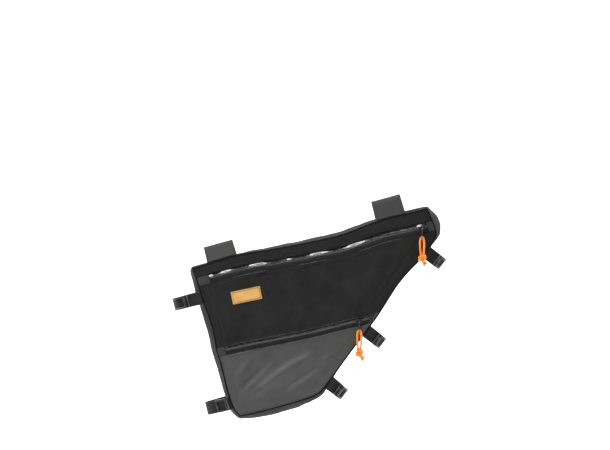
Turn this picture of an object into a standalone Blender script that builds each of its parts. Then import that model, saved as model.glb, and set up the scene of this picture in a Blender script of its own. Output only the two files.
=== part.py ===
"""Bicycle frame bag: a slim zipped bag of coated fabric with two wide straps along its top
edge and five narrow webbing straps along its rear and lower edges.

The bag is modelled in its own frame: X runs forward along the top straps' common axis, Z is
square to it, and Y runs away from the near side. An empty tips that frame up at the front.
Metres, +Z up. The origin is midway between the two top straps, on the axis of their loops.
"""

import math

import bmesh
import bpy
import numpy as np
from mathutils import Matrix, Vector

# Body of the bag, measured round the near seam
SEAM_LENGTH = 0.433        # along the top edge
SEAM_DEPTH = 0.274         # square to the top edge
REAR_REACH = 0.4822 * SEAM_LENGTH  # from the origin back to the rear end of the seam
TOP_DROP = 0.0132          # from the axis of the top loops down to the top of the seam
SEAM_GAP = 0.060           # across the bag, seam to seam
TIP_UP = math.radians(15.2)
TOP_LIFT = 0.006           # how far the top seam wanders from straight
BOTTOM_SAG = 0.0086        # how far the bottom seam hangs below straight
PANEL_BULGE = 0.0045       # a side panel's swell at its middle
PANEL_SHOULDER = 0.035     # distance from the seam over which a panel swells
GUSSET_BULGE = 0.013       # the gusset's fullest swell beyond the seam
FOLD_HEIGHT = 0.0022       # the highest fold of the pocket panel

# Cloth, trim and clearances
FABRIC = 0.0016
CLEARANCE = 0.0003
PIPING_DIAMETER = 0.003
STRAP_FIT = 0.0005         # slack between a loop's strap and its round space

# Zips
ZIP_OPENING = 0.0150       # between the edges of the two panels
TAPE_OVERLAP = 0.005       # of the tape behind each panel's edge
TAPE_THICKNESS = 0.001
TAB_LENGTH = 0.018
TAB_COLUMNS = 3            # faces along a tab
SLIDER_LENGTH = 0.0115
SLIDER_WIDTH = 0.0095
SLIDER_HEIGHT = 0.0034
SLIDER_BEVEL = 0.3         # share of the slider's height
BRIDGE_WIRE = 0.0020
BRIDGE_RISE = 0.0032       # from the slider's face to the middle of its bridge
BRIDGE_REACH = 0.36        # half the bridge's span, a share of the slider's length
BRIDGE_KNEE = 0.6          # share of the rise at which the bridge bends over
BRIDGE_FLAT = 0.8          # share of the span along which its top is flat
LOOP_WIRE = 0.0015
LOOP_WIDTH = 0.0068
LOOP_LENGTH = 0.0205

# Label, cord pulls and straps
LABEL_LENGTH = 0.053
LABEL_HEIGHT = 0.0228
LABEL_THICKNESS = 0.0012
LABEL_TILT = math.radians(-3.3)  # against the top edge
LABEL_COLUMNS = 6          # faces along it
CORD_DIAMETER = 0.004
KNOT_DIAMETER = 0.0165
KNOT_HEIGHT = 0.0175
KNOT_DEPTH_SHARE = 0.85    # of the knot's diameter
TOP_STRAP_WIDTH = 0.0532
TOP_STRAP_THICKNESS = 0.0022
WEB_WIDTH = 0.0230
WEB_THICKNESS = 0.0016
BUCKLE_THICKNESS = 0.0100
BUCKLE_BEVEL = 0.0022
BEVELLED_ANGLE = math.radians(50)  # edges sharper than this are bevelled
SMOOTH_ANGLE = math.radians(35)    # faces that meet flatter than this are shaded smooth

# Steps that share out the length, depth and width of the body, and round parts, among faces
LENGTH_STEPS = 18
WIDTH_STEPS = 8
END_CROWDING = 0.45
HALF_TURN_STEPS = 6
BUCKLE_STEPS = 6
LEAST_MITRE = 0.6          # keeps the offset of a sharp corner within bounds

# Rear and front ends of the near seam: along and bulge are shares of SEAM_LENGTH and
# GUSSET_BULGE at each share of SEAM_DEPTH.
REAR_EDGE = (
    # below, along, bulge
    (0.000, 0.001, 0.60),
    (0.065, 0.004, 0.75),
    (0.123, 0.006, 0.85),
    (0.237, 0.009, 0.90),
    (0.349, 0.015, 0.95),
    (0.468, 0.014, 0.85),
    (0.540, 0.009, 0.75),
    (0.668, 0.010, 0.70),
    (0.817, 0.007, 0.55),
    (0.888, 0.009, 0.55),
    (0.951, 0.015, 0.65),
    (1.000, 0.029, 0.45),
)
FRONT_EDGE = (
    # below, along, bulge
    (0.022, 0.990, 0.35),
    (0.095, 0.996, 1.00),
    (0.171, 1.000, 0.95),
    (0.209, 0.995, 0.75),
    (0.261, 0.960, 0.35),
    (0.336, 0.898, 0.15),
    (0.395, 0.836, 0.10),
    (0.456, 0.784, 0.10),
    (0.525, 0.736, 0.10),
    (0.595, 0.688, 0.10),
    (0.709, 0.598, 0.10),
    (0.786, 0.534, 0.10),
    (0.856, 0.479, 0.15),
    (0.918, 0.431, 0.30),
    (0.965, 0.393, 0.60),
)
TOP_EDGE = (
    # across, lift as a share of TOP_LIFT, bulge
    (0.000, 0.00, 0.35),
    (0.070, 0.20, 0.25),
    (0.190, 0.48, 0.28),
    (0.340, -0.40, 0.38),
    (0.470, -1.00, 0.46),
    (0.630, -1.35, 0.46),
    (0.790, -0.10, 0.48),
    (0.910, -0.15, 0.44),
    (1.000, -0.05, 0.35),
)
BOTTOM_EDGE = (
    # across, lift as a share of BOTTOM_SAG, bulge
    (0.000, 0.00, 0.45),
    (0.190, -0.42, 0.80),
    (0.540, -0.85, 0.90),
    (0.840, -1.00, 0.90),
    (0.940, -0.62, 0.80),
    (1.000, 0.00, 0.60),
)
# Where a level on the rear edge meets the front edge, both as shares of SEAM_DEPTH
LEVELS = (
    # rear, front
    (0.000, 0.022),
    (0.094, 0.142),
    (0.566, 0.614),
    (1.000, 0.965),
)

# Folds of the pocket panel: middle and size as shares of SEAM_LENGTH, height of FOLD_HEIGHT
FOLDS = (
    # along, below, rise in degrees, reach, spread, height
    (0.115, 0.735, 30.0, 0.085, 0.016, 1.00),
    (0.215, 0.720, 34.0, 0.090, 0.018, -0.80),
    (0.300, 0.760, 30.0, 0.100, 0.016, 0.85),
    (0.385, 0.745, 36.0, 0.080, 0.018, -0.70),
    (0.165, 0.860, 24.0, 0.080, 0.016, 0.70),
    (0.290, 0.880, 26.0, 0.070, 0.015, -0.60),
    (0.500, 0.680, 30.0, 0.060, 0.014, 0.60),
)

# Round spaces that the narrow straps close round. The side that faces the bag is a line
# between two points, along and below as shares of SEAM_LENGTH and SEAM_DEPTH.
SPACES = {
    # name: diameter, start (along, below), end (along, below), side of the line it lies on
    "seat": (0.0355, (-0.003, -0.113), (-0.013, 0.952), -1),
    "down": (0.0384, (1.009, 0.174), (0.307, 1.009), 1),
}
TOP_SPACE_DIAMETER = 0.0318

# Straps: station is a share of the space's length from its start, and the buckle covers the
# strap from one share of its path to another, with a share of BUCKLE_THICKNESS.
STRAPS = (
    # name, space, station, buckle from, buckle to, buckle thickness
    ("seat_strap_upper", "seat", 0.291, 0.33, 0.58, 1.10),
    ("seat_strap_lower", "seat", 0.955, 0.05, 0.22, 0.45),
    ("down_strap_upper", "down", 0.112, 0.39, 0.58, 0.62),
    ("down_strap_middle", "down", 0.576, 0.39, 0.58, 0.85),
    ("down_strap_lower", "down", 0.874, 0.38, 0.58, 1.05),
)
# Each top strap's middle is a share of SEAM_LENGTH from the origin.
TOP_STRAPS = {"top_strap_rear": -0.357, "top_strap_front": 0.357}

# Each zip's slider stands at a share of the zip's length, its loop hangs at a share of the
# slider's length, and its tabs are shares of TAB_LENGTH.
ZIPS = (
    # name, level, slider, loop, rear tab, front tab
    ("upper", 0.094, 0.951, -0.11, 1.28, 0.67),
    ("lower", 0.566, 0.890, 0.00, 1.20, 0.90),
)
LABEL_MIDDLE = (0.185, 0.257)

# Routes of the two cord pulls, chosen point by point from knot to knot, in the tipped-up frame
CORD_ROUTES = {
    "upper_pull_cord": (
        (0.2052, -0.0410, -0.0400), (0.2043, -0.0408, -0.0330), (0.2039, -0.0402, -0.0260),
        (0.2041, -0.0395, -0.0192), (0.2052, -0.0390, -0.0143), (0.2079, -0.0390, -0.0114),
        (0.2107, -0.0390, -0.0143), (0.2118, -0.0395, -0.0192), (0.2121, -0.0402, -0.0260),
        (0.2117, -0.0408, -0.0330), (0.2108, -0.0410, -0.0400),
    ),
    "lower_pull_cord": (
        (0.0943, -0.0420, -0.2078), (0.0935, -0.0416, -0.2000), (0.0930, -0.0408, -0.1920),
        (0.0931, -0.0398, -0.1842), (0.0943, -0.0392, -0.1792), (0.0969, -0.0390, -0.1761),
        (0.0998, -0.0392, -0.1792), (0.1010, -0.0398, -0.1842), (0.1012, -0.0408, -0.1920),
        (0.1007, -0.0416, -0.2000), (0.0998, -0.0420, -0.2078),
    ),
}
# The two cut tails that hang from a knot
TAILS = (
    # length, lean in degrees, offset forward
    (0.0085, 14.0, 0.001),
    (0.0060, 43.0, 0.004),
)
TAIL_DROP = 0.3             # share of the knot's height, from its middle to the tails' start

COLOURS = {
    # name: colour, roughness, metallic
    "fabric_black": ((0.020, 0.020, 0.022), 0.75, 0.0),
    "fabric_grey": ((0.085, 0.085, 0.088), 0.50, 0.0),
    "zip_tape": ((0.028, 0.028, 0.030), 0.30, 0.0),
    "piping": ((0.008, 0.008, 0.009), 0.55, 0.0),
    "tab_grey": ((0.070, 0.070, 0.074), 0.60, 0.0),
    "strap_grey": ((0.060, 0.061, 0.065), 0.70, 0.0),
    "webbing": ((0.024, 0.024, 0.026), 0.80, 0.0),
    "plastic": ((0.030, 0.030, 0.032), 0.35, 0.0),
    "slider_metal": ((0.030, 0.030, 0.032), 0.30, 0.8),
    "cord_orange": ((0.900, 0.240, 0.030), 0.60, 0.0),
    "label_amber": ((0.760, 0.300, 0.030), 0.55, 0.0),
}


def smooth(table, at, column):
    """A column of a table at a value of its first column, on a smooth curve through the rows."""
    keys = [row[0] for row in table]
    values = [row[column] for row in table]
    last = len(keys) - 1
    slopes = []
    for i in range(len(keys)):
        a, b = max(i - 1, 0), min(i + 1, last)
        slopes.append((values[b] - values[a]) / (keys[b] - keys[a]))
    i = min(max(int(np.searchsorted(keys, at)) - 1, 0), last - 1)
    span = keys[i + 1] - keys[i]
    t = min(max((at - keys[i]) / span, 0.0), 1.0)
    return (
        values[i] * (2 * t**3 - 3 * t**2 + 1)
        + values[i + 1] * (3 * t**2 - 2 * t**3)
        + span * slopes[i] * (t**3 - 2 * t**2 + t)
        + span * slopes[i + 1] * (t**3 - t**2)
    )


def in_plane(along, below):
    """A place on the middle plane (x, z) from shares of the seam's length and depth."""
    return Vector((along * SEAM_LENGTH - REAR_REACH, -TOP_DROP - below * SEAM_DEPTH))


def front_level(level):
    return float(np.interp(level, [row[0] for row in LEVELS], [row[1] for row in LEVELS]))


def rear_end(level):
    return in_plane(smooth(REAR_EDGE, level, 1), level)


def front_end(level):
    below = front_level(level)
    return in_plane(smooth(FRONT_EDGE, below, 1), below)


def body_point(across, level):
    """A place on the side panel: across runs from the rear end to the front end of a level."""
    straight = rear_end(level).lerp(front_end(level), across)
    lift = (1 - level) ** 2 * TOP_LIFT * smooth(TOP_EDGE, across, 1)
    sag = level**3 * BOTTOM_SAG * smooth(BOTTOM_EDGE, across, 1)
    return straight + Vector((0, lift + sag))


def zip_edges(level):
    """The levels of the panel edges above and below a zip."""
    half = 0.5 * ZIP_OPENING / SEAM_DEPTH
    return level - half, level + half


def between(start, end, shares):
    return [start + (end - start) * share for share in shares]


def crowded_ends(steps, crowding):
    """Shares from 0 to 1 in steps that are shorter near both ends."""
    even = [i / steps for i in range(steps + 1)]
    return [(1 - crowding) * u + crowding * (0.5 - 0.5 * math.cos(math.pi * u)) for u in even]


ACROSS = crowded_ends(LENGTH_STEPS, END_CROWDING)
UPPER_ZIP, LOWER_ZIP = [zip_edges(row[1]) for row in ZIPS]
TOP_LEVELS = between(0.0, UPPER_ZIP[0], (0.0, 0.45, 1.0))
MAIN_LEVELS = between(UPPER_ZIP[1], LOWER_ZIP[0], (0.0, 0.08, 0.2, 0.36, 0.52, 0.68, 0.84, 1.0))
POCKET_LEVELS = between(LOWER_ZIP[1], 1.0, (0.0, 0.16, 0.32, 0.48, 0.64, 0.78, 0.89, 0.96, 1.0))
ALL_LEVELS = TOP_LEVELS + MAIN_LEVELS + POCKET_LEVELS


def seam_ring():
    """The seam all the way round as (place, bulge), and the ring's place of each panel edge."""
    top = [(body_point(u, 0.0), smooth(TOP_EDGE, u, 2)) for u in ACROSS]
    front = [
        (body_point(1.0, level), smooth(FRONT_EDGE, front_level(level), 2))
        for level in ALL_LEVELS[1:-1]
    ]
    bottom = [(body_point(u, 1.0), smooth(BOTTOM_EDGE, u, 2)) for u in reversed(ACROSS)]
    rear = [
        (body_point(0.0, level), smooth(REAR_EDGE, level, 2))
        for level in reversed(ALL_LEVELS[1:-1])
    ]
    return top + front + bottom + rear


RING = seam_ring()


def outward_at(index):
    """The direction out of the seam at a place of the ring, long enough to offset both sides."""
    here = RING[index][0]
    before = here - RING[index - 1][0]
    after = RING[(index + 1) % len(RING)][0] - here
    normals = [Vector((-step.y, step.x)).normalized() for step in (before, after)]
    middle = (normals[0] + normals[1]).normalized()
    return middle / max(middle.dot(normals[0]), LEAST_MITRE)


OUTWARD = [outward_at(i) for i in range(len(RING))]


def ring_index(across_index, level):
    """The ring's place of a panel point that lies on the seam, or None inside the panel."""
    level_index = min(range(len(ALL_LEVELS)), key=lambda i: abs(ALL_LEVELS[i] - level))
    columns, rows = len(ACROSS), len(ALL_LEVELS)
    if level_index == 0:
        return across_index
    if level_index == rows - 1:
        return columns + rows - 2 + (columns - 1 - across_index)
    if across_index == columns - 1:
        return columns + level_index - 1
    if across_index == 0:
        return 2 * columns + (rows - 2) + (rows - 2 - level_index)
    return None


def trim_direction(column, level):
    """The direction in which a panel point is drawn in so that the panel clears the piping.
    Along the top and bottom seams it is square to the seam, and elsewhere it follows the row."""
    if level in (ALL_LEVELS[0], ALL_LEVELS[-1]):
        return OUTWARD[ring_index(column, level)]
    row = (front_end(level) - rear_end(level)).normalized()
    ends = [OUTWARD[ring_index(end, level)] for end in (0, len(ACROSS) - 1)]
    rear, front = [row * (end.length / row.dot(end)) for end in ends]
    return rear.lerp(front, ACROSS[column])


def seam_distance(place):
    """How far a place in the plane lies from the seam."""
    best = math.inf
    for i, (end, _) in enumerate(RING):
        start = RING[i - 1][0]
        step = end - start
        share = min(max((place - start).dot(step) / step.length_squared, 0.0), 1.0)
        best = min(best, (place - start - share * step).length)
    return best


def swell(place):
    return PANEL_BULGE * (1 - math.exp(-seam_distance(place) / PANEL_SHOULDER))


def fold(place, below_zip):
    """How far the pocket panel's folds lift a place at a distance below its upper edge."""
    total = 0.0
    for along, below, rise, reach, spread, height in FOLDS:
        away = place - in_plane(along, below)
        turn = math.radians(rise)
        run = away.x * math.cos(turn) + away.y * math.sin(turn)
        side = -away.x * math.sin(turn) + away.y * math.cos(turn)
        shape = (run / (reach * SEAM_LENGTH)) ** 2 + (side / (spread * SEAM_LENGTH)) ** 2
        total += height * FOLD_HEIGHT * math.exp(-shape)
    fade = min(seam_distance(place) / PANEL_SHOULDER, 1.0)
    return total * fade * min(below_zip / PANEL_SHOULDER, 1.0) ** 2


def near_face(place, lift=0.0):
    """The y of the near side's outer face, where folds lift it further."""
    return -(0.5 * SEAM_GAP + 0.5 * FABRIC + swell(place) + lift)


class Space:
    """A round space along the bag's edge: its axis, and the direction from it to the bag."""

    def __init__(self, diameter, start, end, side):
        self.radius = 0.5 * diameter
        self.length = (end - start).length
        self.along = (end - start).normalized()
        self.to_bag = Vector((-self.along.y, self.along.x)) * -side
        self.start = start - self.to_bag * self.radius

    def clear(self, place, y):
        """Moves a place towards the bag until the space is free there."""
        reach = self.radius + CLEARANCE
        if abs(y) >= reach:
            return place
        needed = math.sqrt(reach**2 - y**2)
        short = needed - (place - self.start).dot(self.to_bag)
        return place + self.to_bag * max(short, 0.0)

    def seam_at(self, station):
        """How far the seam lies from the axis, towards the bag, at a station along it."""
        found = []
        for i, (end, _) in enumerate(RING):
            start = RING[i - 1][0]
            a = (start - self.start).dot(self.along) - station
            b = (end - self.start).dot(self.along) - station
            if a * b <= 0 and a != b:
                crossing = start.lerp(end, a / (a - b))
                found.append((crossing - self.start).dot(self.to_bag))
        return min(found)

    def point(self, station, towards, y):
        """A point in space from a station, a distance towards the bag and a y."""
        place = self.start + self.along * station + self.to_bag * towards
        return Vector((place.x, y, place.y))


def all_spaces():
    made = {
        name: Space(diameter, in_plane(*start), in_plane(*end), side)
        for name, (diameter, start, end, side) in SPACES.items()
    }
    underside = -0.5 * TOP_SPACE_DIAMETER
    made["top"] = Space(
        TOP_SPACE_DIAMETER,
        Vector((-REAR_REACH, underside)),
        Vector((SEAM_LENGTH - REAR_REACH, underside)),
        1,
    )
    return made


ROUND_SPACES = all_spaces()

for thing in list(bpy.data.objects):
    bpy.data.objects.remove(thing, do_unlink=True)

PARTS = bpy.data.collections.new("bicycle_frame_bag")
bpy.context.scene.collection.children.link(PARTS)
HELPERS = bpy.data.collections.new("bicycle_frame_bag_cutters")
bpy.context.scene.collection.children.link(HELPERS)

BAG_FRAME = bpy.data.objects.new("bag_frame", None)
BAG_FRAME.rotation_euler = (0, -TIP_UP, 0)
PARTS.objects.link(BAG_FRAME)
bpy.context.view_layer.update()


def material(name):
    """The named material, made the first time it is asked for."""
    found = bpy.data.materials.get(name)
    if found:
        return found
    colour, roughness, metallic = COLOURS[name]
    made = bpy.data.materials.new(name)
    made.use_nodes = True
    shader = made.node_tree.nodes["Principled BSDF"]
    shader.inputs["Base Color"].default_value = (*colour, 1)
    shader.inputs["Roughness"].default_value = roughness
    shader.inputs["Metallic"].default_value = metallic
    return made


def add(name, data, finish, parent=BAG_FRAME):
    """Puts mesh or curve data into the parts collection under a name."""
    made = bpy.data.objects.new(name, data)
    data.materials.clear()
    data.materials.append(material(finish))
    made.parent = parent
    PARTS.objects.link(made)
    if isinstance(data, bpy.types.Mesh):
        data.shade_smooth()
        data.set_sharp_from_angle(angle=SMOOTH_ANGLE)
    return made


def sheet(name, grid, thickness, outward, finish, closed=False):
    """A sheet of cloth from rows of points on its outer face, with its thickness behind them."""
    built = bmesh.new()
    rows = [[built.verts.new(point) for point in row] for row in grid]
    strips = list(zip(rows, rows[1:] + rows[:1])) if closed else list(zip(rows, rows[1:]))
    for first, second in strips:
        for a, b, c, d in zip(first, first[1:], second[1:], second):
            built.faces.new((a, b, c, d))
    built.normal_update()
    facing = sum(face.normal.dot(outward(face.calc_center_median())) for face in built.faces)
    if facing < 0:
        bmesh.ops.reverse_faces(built, faces=built.faces[:])
    data = bpy.data.meshes.new(name)
    built.to_mesh(data)
    built.free()
    made = add(name, data, finish)
    solidify = made.modifiers.new("thickness", "SOLIDIFY")
    solidify.thickness = thickness
    solidify.offset = -1
    return made


def near_side(_):
    return Vector((0, -1, 0))


def panel(name, levels, finish, side, folded=False):
    """One side panel between two levels, its edges clear of the piping and of the zips."""
    trim = 0.5 * PIPING_DIAMETER + CLEARANCE
    grid = []
    for level in levels:
        row = []
        for column, across in enumerate(ACROSS):
            place = body_point(across, level) - trim_direction(column, level) * trim
            lift = fold(place, (level - levels[0]) * SEAM_DEPTH) if folded else 0.0
            row.append(Vector((place.x, side * -near_face(place, lift), place.y)))
        grid.append(row)
    return sheet(name, grid, FABRIC, lambda _: Vector((0, side, 0)), finish)


def gusset():
    """The band of fabric between the seams, pushed in where the round spaces lie."""
    edge = 0.5 * SEAM_GAP - 0.5 * PIPING_DIAMETER - CLEARANCE
    grid = []
    for (place, bulge), outward in zip(RING, OUTWARD):
        row = []
        for step in range(WIDTH_STEPS + 1):
            share = 2 * step / WIDTH_STEPS - 1
            y = edge * math.sin(0.5 * math.pi * share)
            out = 0.5 * FABRIC + GUSSET_BULGE * bulge * (1 - (y / edge) ** 2)
            moved = place + outward * out
            for space in ROUND_SPACES.values():
                moved = space.clear(moved, y)
            row.append(Vector((moved.x, y, moved.y)))
        grid.append(row)
    middle = sum((place for place, _ in RING), Vector((0, 0))) / len(RING)

    def away(point):
        return Vector((point.x - middle.x, 0, point.z - middle.y))

    return sheet("gusset", grid, FABRIC, away, "fabric_black", closed=True)


def wire(name, points, diameter, finish, cyclic=False, parent=BAG_FRAME, resolution=2):
    """A round bar along a line of points, with filled ends where it isn't a ring."""
    data = bpy.data.curves.new(name, "CURVE")
    data.dimensions = "3D"
    data.bevel_depth = 0.5 * diameter
    data.bevel_resolution = resolution
    data.use_fill_caps = not cyclic
    line = data.splines.new("POLY")
    line.points.add(len(points) - 1)
    for spot, point in zip(line.points, points):
        spot.co = (*point, 1)
    line.use_cyclic_u = cyclic
    return add(name, data, finish, parent)


def piping(name, side):
    points = [(place.x, side * 0.5 * SEAM_GAP, place.y) for place, _ in RING]
    return wire(name, points, PIPING_DIAMETER, "piping", cyclic=True, resolution=1)


def tape_face(place):
    """The y of a zip tape's outer face, just behind the panels."""
    return near_face(place) + FABRIC + CLEARANCE


def trimmed_across(levels, trim):
    """Shares across a zip, ending a distance short of the seam at both ends."""
    middle = 0.5 * (levels[0] + levels[1])
    length = (front_end(middle) - rear_end(middle)).length
    start, end = trim / length, 1 - trim / length
    return [start] + [u for u in ACROSS if start < u < end] + [end]


def zip_tape(name, levels):
    overlap = TAPE_OVERLAP / SEAM_DEPTH
    trim = 0.5 * PIPING_DIAMETER + 2 * FABRIC
    rows = [levels[0] - overlap, 0.5 * (levels[0] + levels[1]), levels[1] + overlap]
    grid = []
    for level in rows:
        row = []
        for across in trimmed_across(levels, trim):
            place = body_point(across, level)
            row.append(Vector((place.x, tape_face(place), place.y)))
        grid.append(row)
    return sheet(name, grid, TAPE_THICKNESS, near_side, "zip_tape")


def zip_tab(name, levels, tab, front):
    """The grey tab sewn over one end of a zip, between the two panels."""
    shut = CLEARANCE / SEAM_DEPTH
    middle = 0.5 * (levels[0] + levels[1])
    length = (front_end(middle) - rear_end(middle)).length
    trim = 0.5 * PIPING_DIAMETER + FABRIC
    grid = []
    for level in (levels[0] + shut, middle, levels[1] - shut):
        row = []
        for step in range(TAB_COLUMNS + 1):
            reach = (trim + (tab - trim) * step / TAB_COLUMNS) / length
            place = body_point(1 - reach if front else reach, level)
            row.append(Vector((place.x, near_face(place), place.y)))
        grid.append(row)
    return sheet(name, grid, FABRIC, near_side, "tab_grey")


def box(name, size, bevel, finish, centre, turn):
    """A block with rounded edges at a place on the bag."""
    built = bmesh.new()
    bmesh.ops.create_cube(built, size=1.0, matrix=Matrix.Diagonal((*size, 1)))
    bmesh.ops.bevel(
        built,
        geom=built.edges[:],
        offset=bevel,
        segments=2,
        profile=0.5,
        affect="EDGES",
    )
    data = bpy.data.meshes.new(name)
    built.to_mesh(data)
    built.free()
    made = add(name, data, finish)
    made.location = centre
    made.rotation_euler = (0, turn, 0)
    return made


def as_mesh(made):
    """The object's evaluated shape as a mesh of its own, in place of a curve."""
    bpy.context.view_layer.update()
    graph = bpy.context.evaluated_depsgraph_get()
    data = bpy.data.meshes.new_from_object(made.evaluated_get(graph))
    built = bmesh.new()
    built.from_mesh(data)
    bmesh.ops.remove_doubles(built, verts=built.verts, dist=1e-6)
    built.to_mesh(data)
    built.free()
    name, place = made.name, made.matrix_world.copy()
    bpy.data.objects.remove(made, do_unlink=True)
    cutter = bpy.data.objects.new(name, data)
    cutter.matrix_world = place
    cutter.hide_render = True
    cutter.display_type = "WIRE"
    HELPERS.objects.link(cutter)
    return cutter


def fuse(whole, addition):
    union = whole.modifiers.new("with_" + addition.name, "BOOLEAN")
    union.operation = "UNION"
    union.object = addition


def slider_place(level, across):
    """The slider's middle in the bag's frame, and the zip's slope there."""
    place = body_point(across, level)
    step = body_point(across + 0.01, level) - body_point(across - 0.01, level)
    back = tape_face(place) - 2 * CLEARANCE
    middle = Vector((place.x, back - 0.5 * SLIDER_HEIGHT, place.y))
    return middle, math.atan2(step.y, step.x)


def slider(name, level, across):
    """A zip slider: its body and the bridge that its wire loop hangs from."""
    middle, slope = slider_place(level, across)
    size = (SLIDER_LENGTH, SLIDER_HEIGHT, SLIDER_WIDTH)
    body = box(name, size, SLIDER_BEVEL * SLIDER_HEIGHT, "slider_metal", middle, -slope)
    face = -0.5 * SLIDER_HEIGHT
    half = BRIDGE_REACH * SLIDER_LENGTH
    arch = (
        (-half, face + BRIDGE_WIRE, 0),
        (-half, face - BRIDGE_KNEE * BRIDGE_RISE, 0),
        (-BRIDGE_FLAT * half, face - BRIDGE_RISE, 0),
        (BRIDGE_FLAT * half, face - BRIDGE_RISE, 0),
        (half, face - BRIDGE_KNEE * BRIDGE_RISE, 0),
        (half, face + BRIDGE_WIRE, 0),
    )
    bar = wire(name + "_bridge", arch, BRIDGE_WIRE, "slider_metal", parent=None)
    bar.matrix_world = (
        BAG_FRAME.matrix_world
        @ Matrix.Translation(middle)
        @ Matrix.Rotation(-slope, 4, "Y")
    )
    fuse(body, as_mesh(bar))
    return body


def pull_loop(name, level, across, hook_share):
    """The wire loop under a slider's bridge, hanging straight down."""
    middle, slope = slider_place(level, across)
    face = middle.y - 0.5 * SLIDER_HEIGHT
    shift = hook_share * SLIDER_LENGTH
    hook = Vector((middle.x + shift * math.cos(slope), face, middle.z + shift * math.sin(slope)))
    hook = BAG_FRAME.matrix_world @ hook
    back = hook.y - CLEARANCE - 0.5 * LOOP_WIRE
    top = hook.z + 0.5 * BRIDGE_WIRE + 2 * CLEARANCE + 0.5 * LOOP_WIRE
    radius = 0.5 * LOOP_WIDTH
    turn = [math.pi * step / HALF_TURN_STEPS for step in range(HALF_TURN_STEPS + 1)]
    upper = [
        (hook.x, back - radius * (1 - math.cos(a)), top - radius * (1 - math.sin(a))) for a in turn
    ]
    low = top - LOOP_LENGTH
    lower = [
        (hook.x, back - radius * (1 + math.cos(a)), low + radius * (1 - math.sin(a))) for a in turn
    ]
    points = upper + lower
    return wire(name, points, LOOP_WIRE, "slider_metal", cyclic=True, parent=None, resolution=1)


def pull_cord(name, route):
    return wire(name, route, CORD_DIAMETER, "cord_orange", parent=None)


def pull_knot(name, route):
    """The knot below a pull: a lump with its two cut tails."""
    centre = 0.5 * (Vector(route[0]) + Vector(route[-1]))
    centre.z -= 0.5 * KNOT_HEIGHT + CLEARANCE
    built = bmesh.new()
    bmesh.ops.create_uvsphere(built, u_segments=12, v_segments=8, radius=0.5)
    size = (KNOT_DIAMETER, KNOT_DEPTH_SHARE * KNOT_DIAMETER, KNOT_HEIGHT, 1)
    bmesh.ops.transform(built, matrix=Matrix.Diagonal(size), verts=built.verts)
    data = bpy.data.meshes.new(name)
    built.to_mesh(data)
    built.free()
    lump = add(name, data, "cord_orange", parent=None)
    lump.location = centre
    for number, (tail, lean, forward) in enumerate(TAILS):
        start = centre + Vector((forward, 0, -TAIL_DROP * KNOT_HEIGHT))
        turn = math.radians(lean)
        end = start + Vector((math.sin(turn), 0, -math.cos(turn))) * tail
        stub = wire(f"{name}_tail_{number}", (start, end), CORD_DIAMETER, "cord_orange", parent=None)
        fuse(lump, as_mesh(stub))
    return lump


def label():
    """The patch on the main panel."""
    middle = in_plane(*LABEL_MIDDLE)
    turn = Vector((math.cos(LABEL_TILT), math.sin(LABEL_TILT)))
    side = Vector((-turn.y, turn.x))
    grid = []
    for row_share in (-0.5, 0.0, 0.5):
        row = []
        for step in range(LABEL_COLUMNS + 1):
            along = LABEL_LENGTH * (step / LABEL_COLUMNS - 0.5)
            place = middle + turn * along + side * LABEL_HEIGHT * row_share
            y = near_face(place) - CLEARANCE - LABEL_THICKNESS
            row.append(Vector((place.x, y, place.y)))
        grid.append(row)
    return sheet("label_patch", grid, LABEL_THICKNESS, near_side, "label_amber")


def strap_path(space, station, radius, thickness):
    """Half the strap's path in its plane, as (towards the bag, y), then its mirror image."""
    seam = space.seam_at(station) - 0.5 * PIPING_DIAMETER - CLEARANCE
    start = Vector((seam, -0.5 * SEAM_GAP - 0.5 * thickness))
    for _ in range(2):
        bearing = math.atan2(start.y, start.x)
        touch = bearing - math.acos(radius / start.length)
        start.x = seam - thickness * abs(math.cos(touch))
    steps = HALF_TURN_STEPS
    arc = [touch + (-math.pi - touch) * step / steps for step in range(steps + 1)]
    run = Vector((radius * math.cos(touch), radius * math.sin(touch)))
    half = [start, start.lerp(run, 0.5)] + [
        Vector((radius * math.cos(angle), radius * math.sin(angle))) for angle in arc
    ]
    return half + [Vector((spot.x, -spot.y)) for spot in reversed(half[:-1])]


def on_path(path, share):
    """The point of a path at a share of its length, and the direction out of the loop there."""
    lengths = [(b - a).length for a, b in zip(path, path[1:])]
    left = share * sum(lengths)
    for a, b, length in zip(path, path[1:], lengths):
        if left <= length:
            break
        left -= length
    step = (b - a).normalized()
    return a + step * min(left, length), Vector((step.y, -step.x))


def band(name, space, station, width, path_of, thickness, finish):
    """A strap: its outer face runs along a path that is worked out at each station across it."""
    grid = []
    for share in (-0.5, 0.0, 0.5):
        across = station + share * width
        grid.append([space.point(across, spot.x, spot.y) for spot in path_of(across)])
    centre = space.point(station, 0, 0)
    return sheet(name, grid, thickness, lambda point: point - centre, finish)


def strap(name, space, station, width, thickness, finish):
    radius = space.radius + STRAP_FIT + thickness
    return band(
        name,
        space,
        station,
        width,
        lambda at: strap_path(space, at, radius, thickness),
        thickness,
        finish,
    )


def buckle(name, space, station, start, end, thickness):
    """A block that hugs the outside of a webbing strap between two shares of its path."""
    radius = space.radius + STRAP_FIT + WEB_THICKNESS

    def outer(_):
        path = strap_path(space, station, radius, WEB_THICKNESS)
        spots = []
        for step in range(BUCKLE_STEPS + 1):
            spot, out = on_path(path, start + (end - start) * step / BUCKLE_STEPS)
            away = out if out.dot(spot) > 0 else -out
            spots.append(spot + away * (CLEARANCE + thickness))
        return spots

    made = band(name, space, station, WEB_WIDTH, outer, thickness, "plastic")
    bevel = made.modifiers.new("rounded", "BEVEL")
    bevel.width = min(BUCKLE_BEVEL, 0.4 * thickness)
    bevel.segments = 1
    bevel.limit_method = "ANGLE"
    bevel.angle_limit = BEVELLED_ANGLE
    return made


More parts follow.
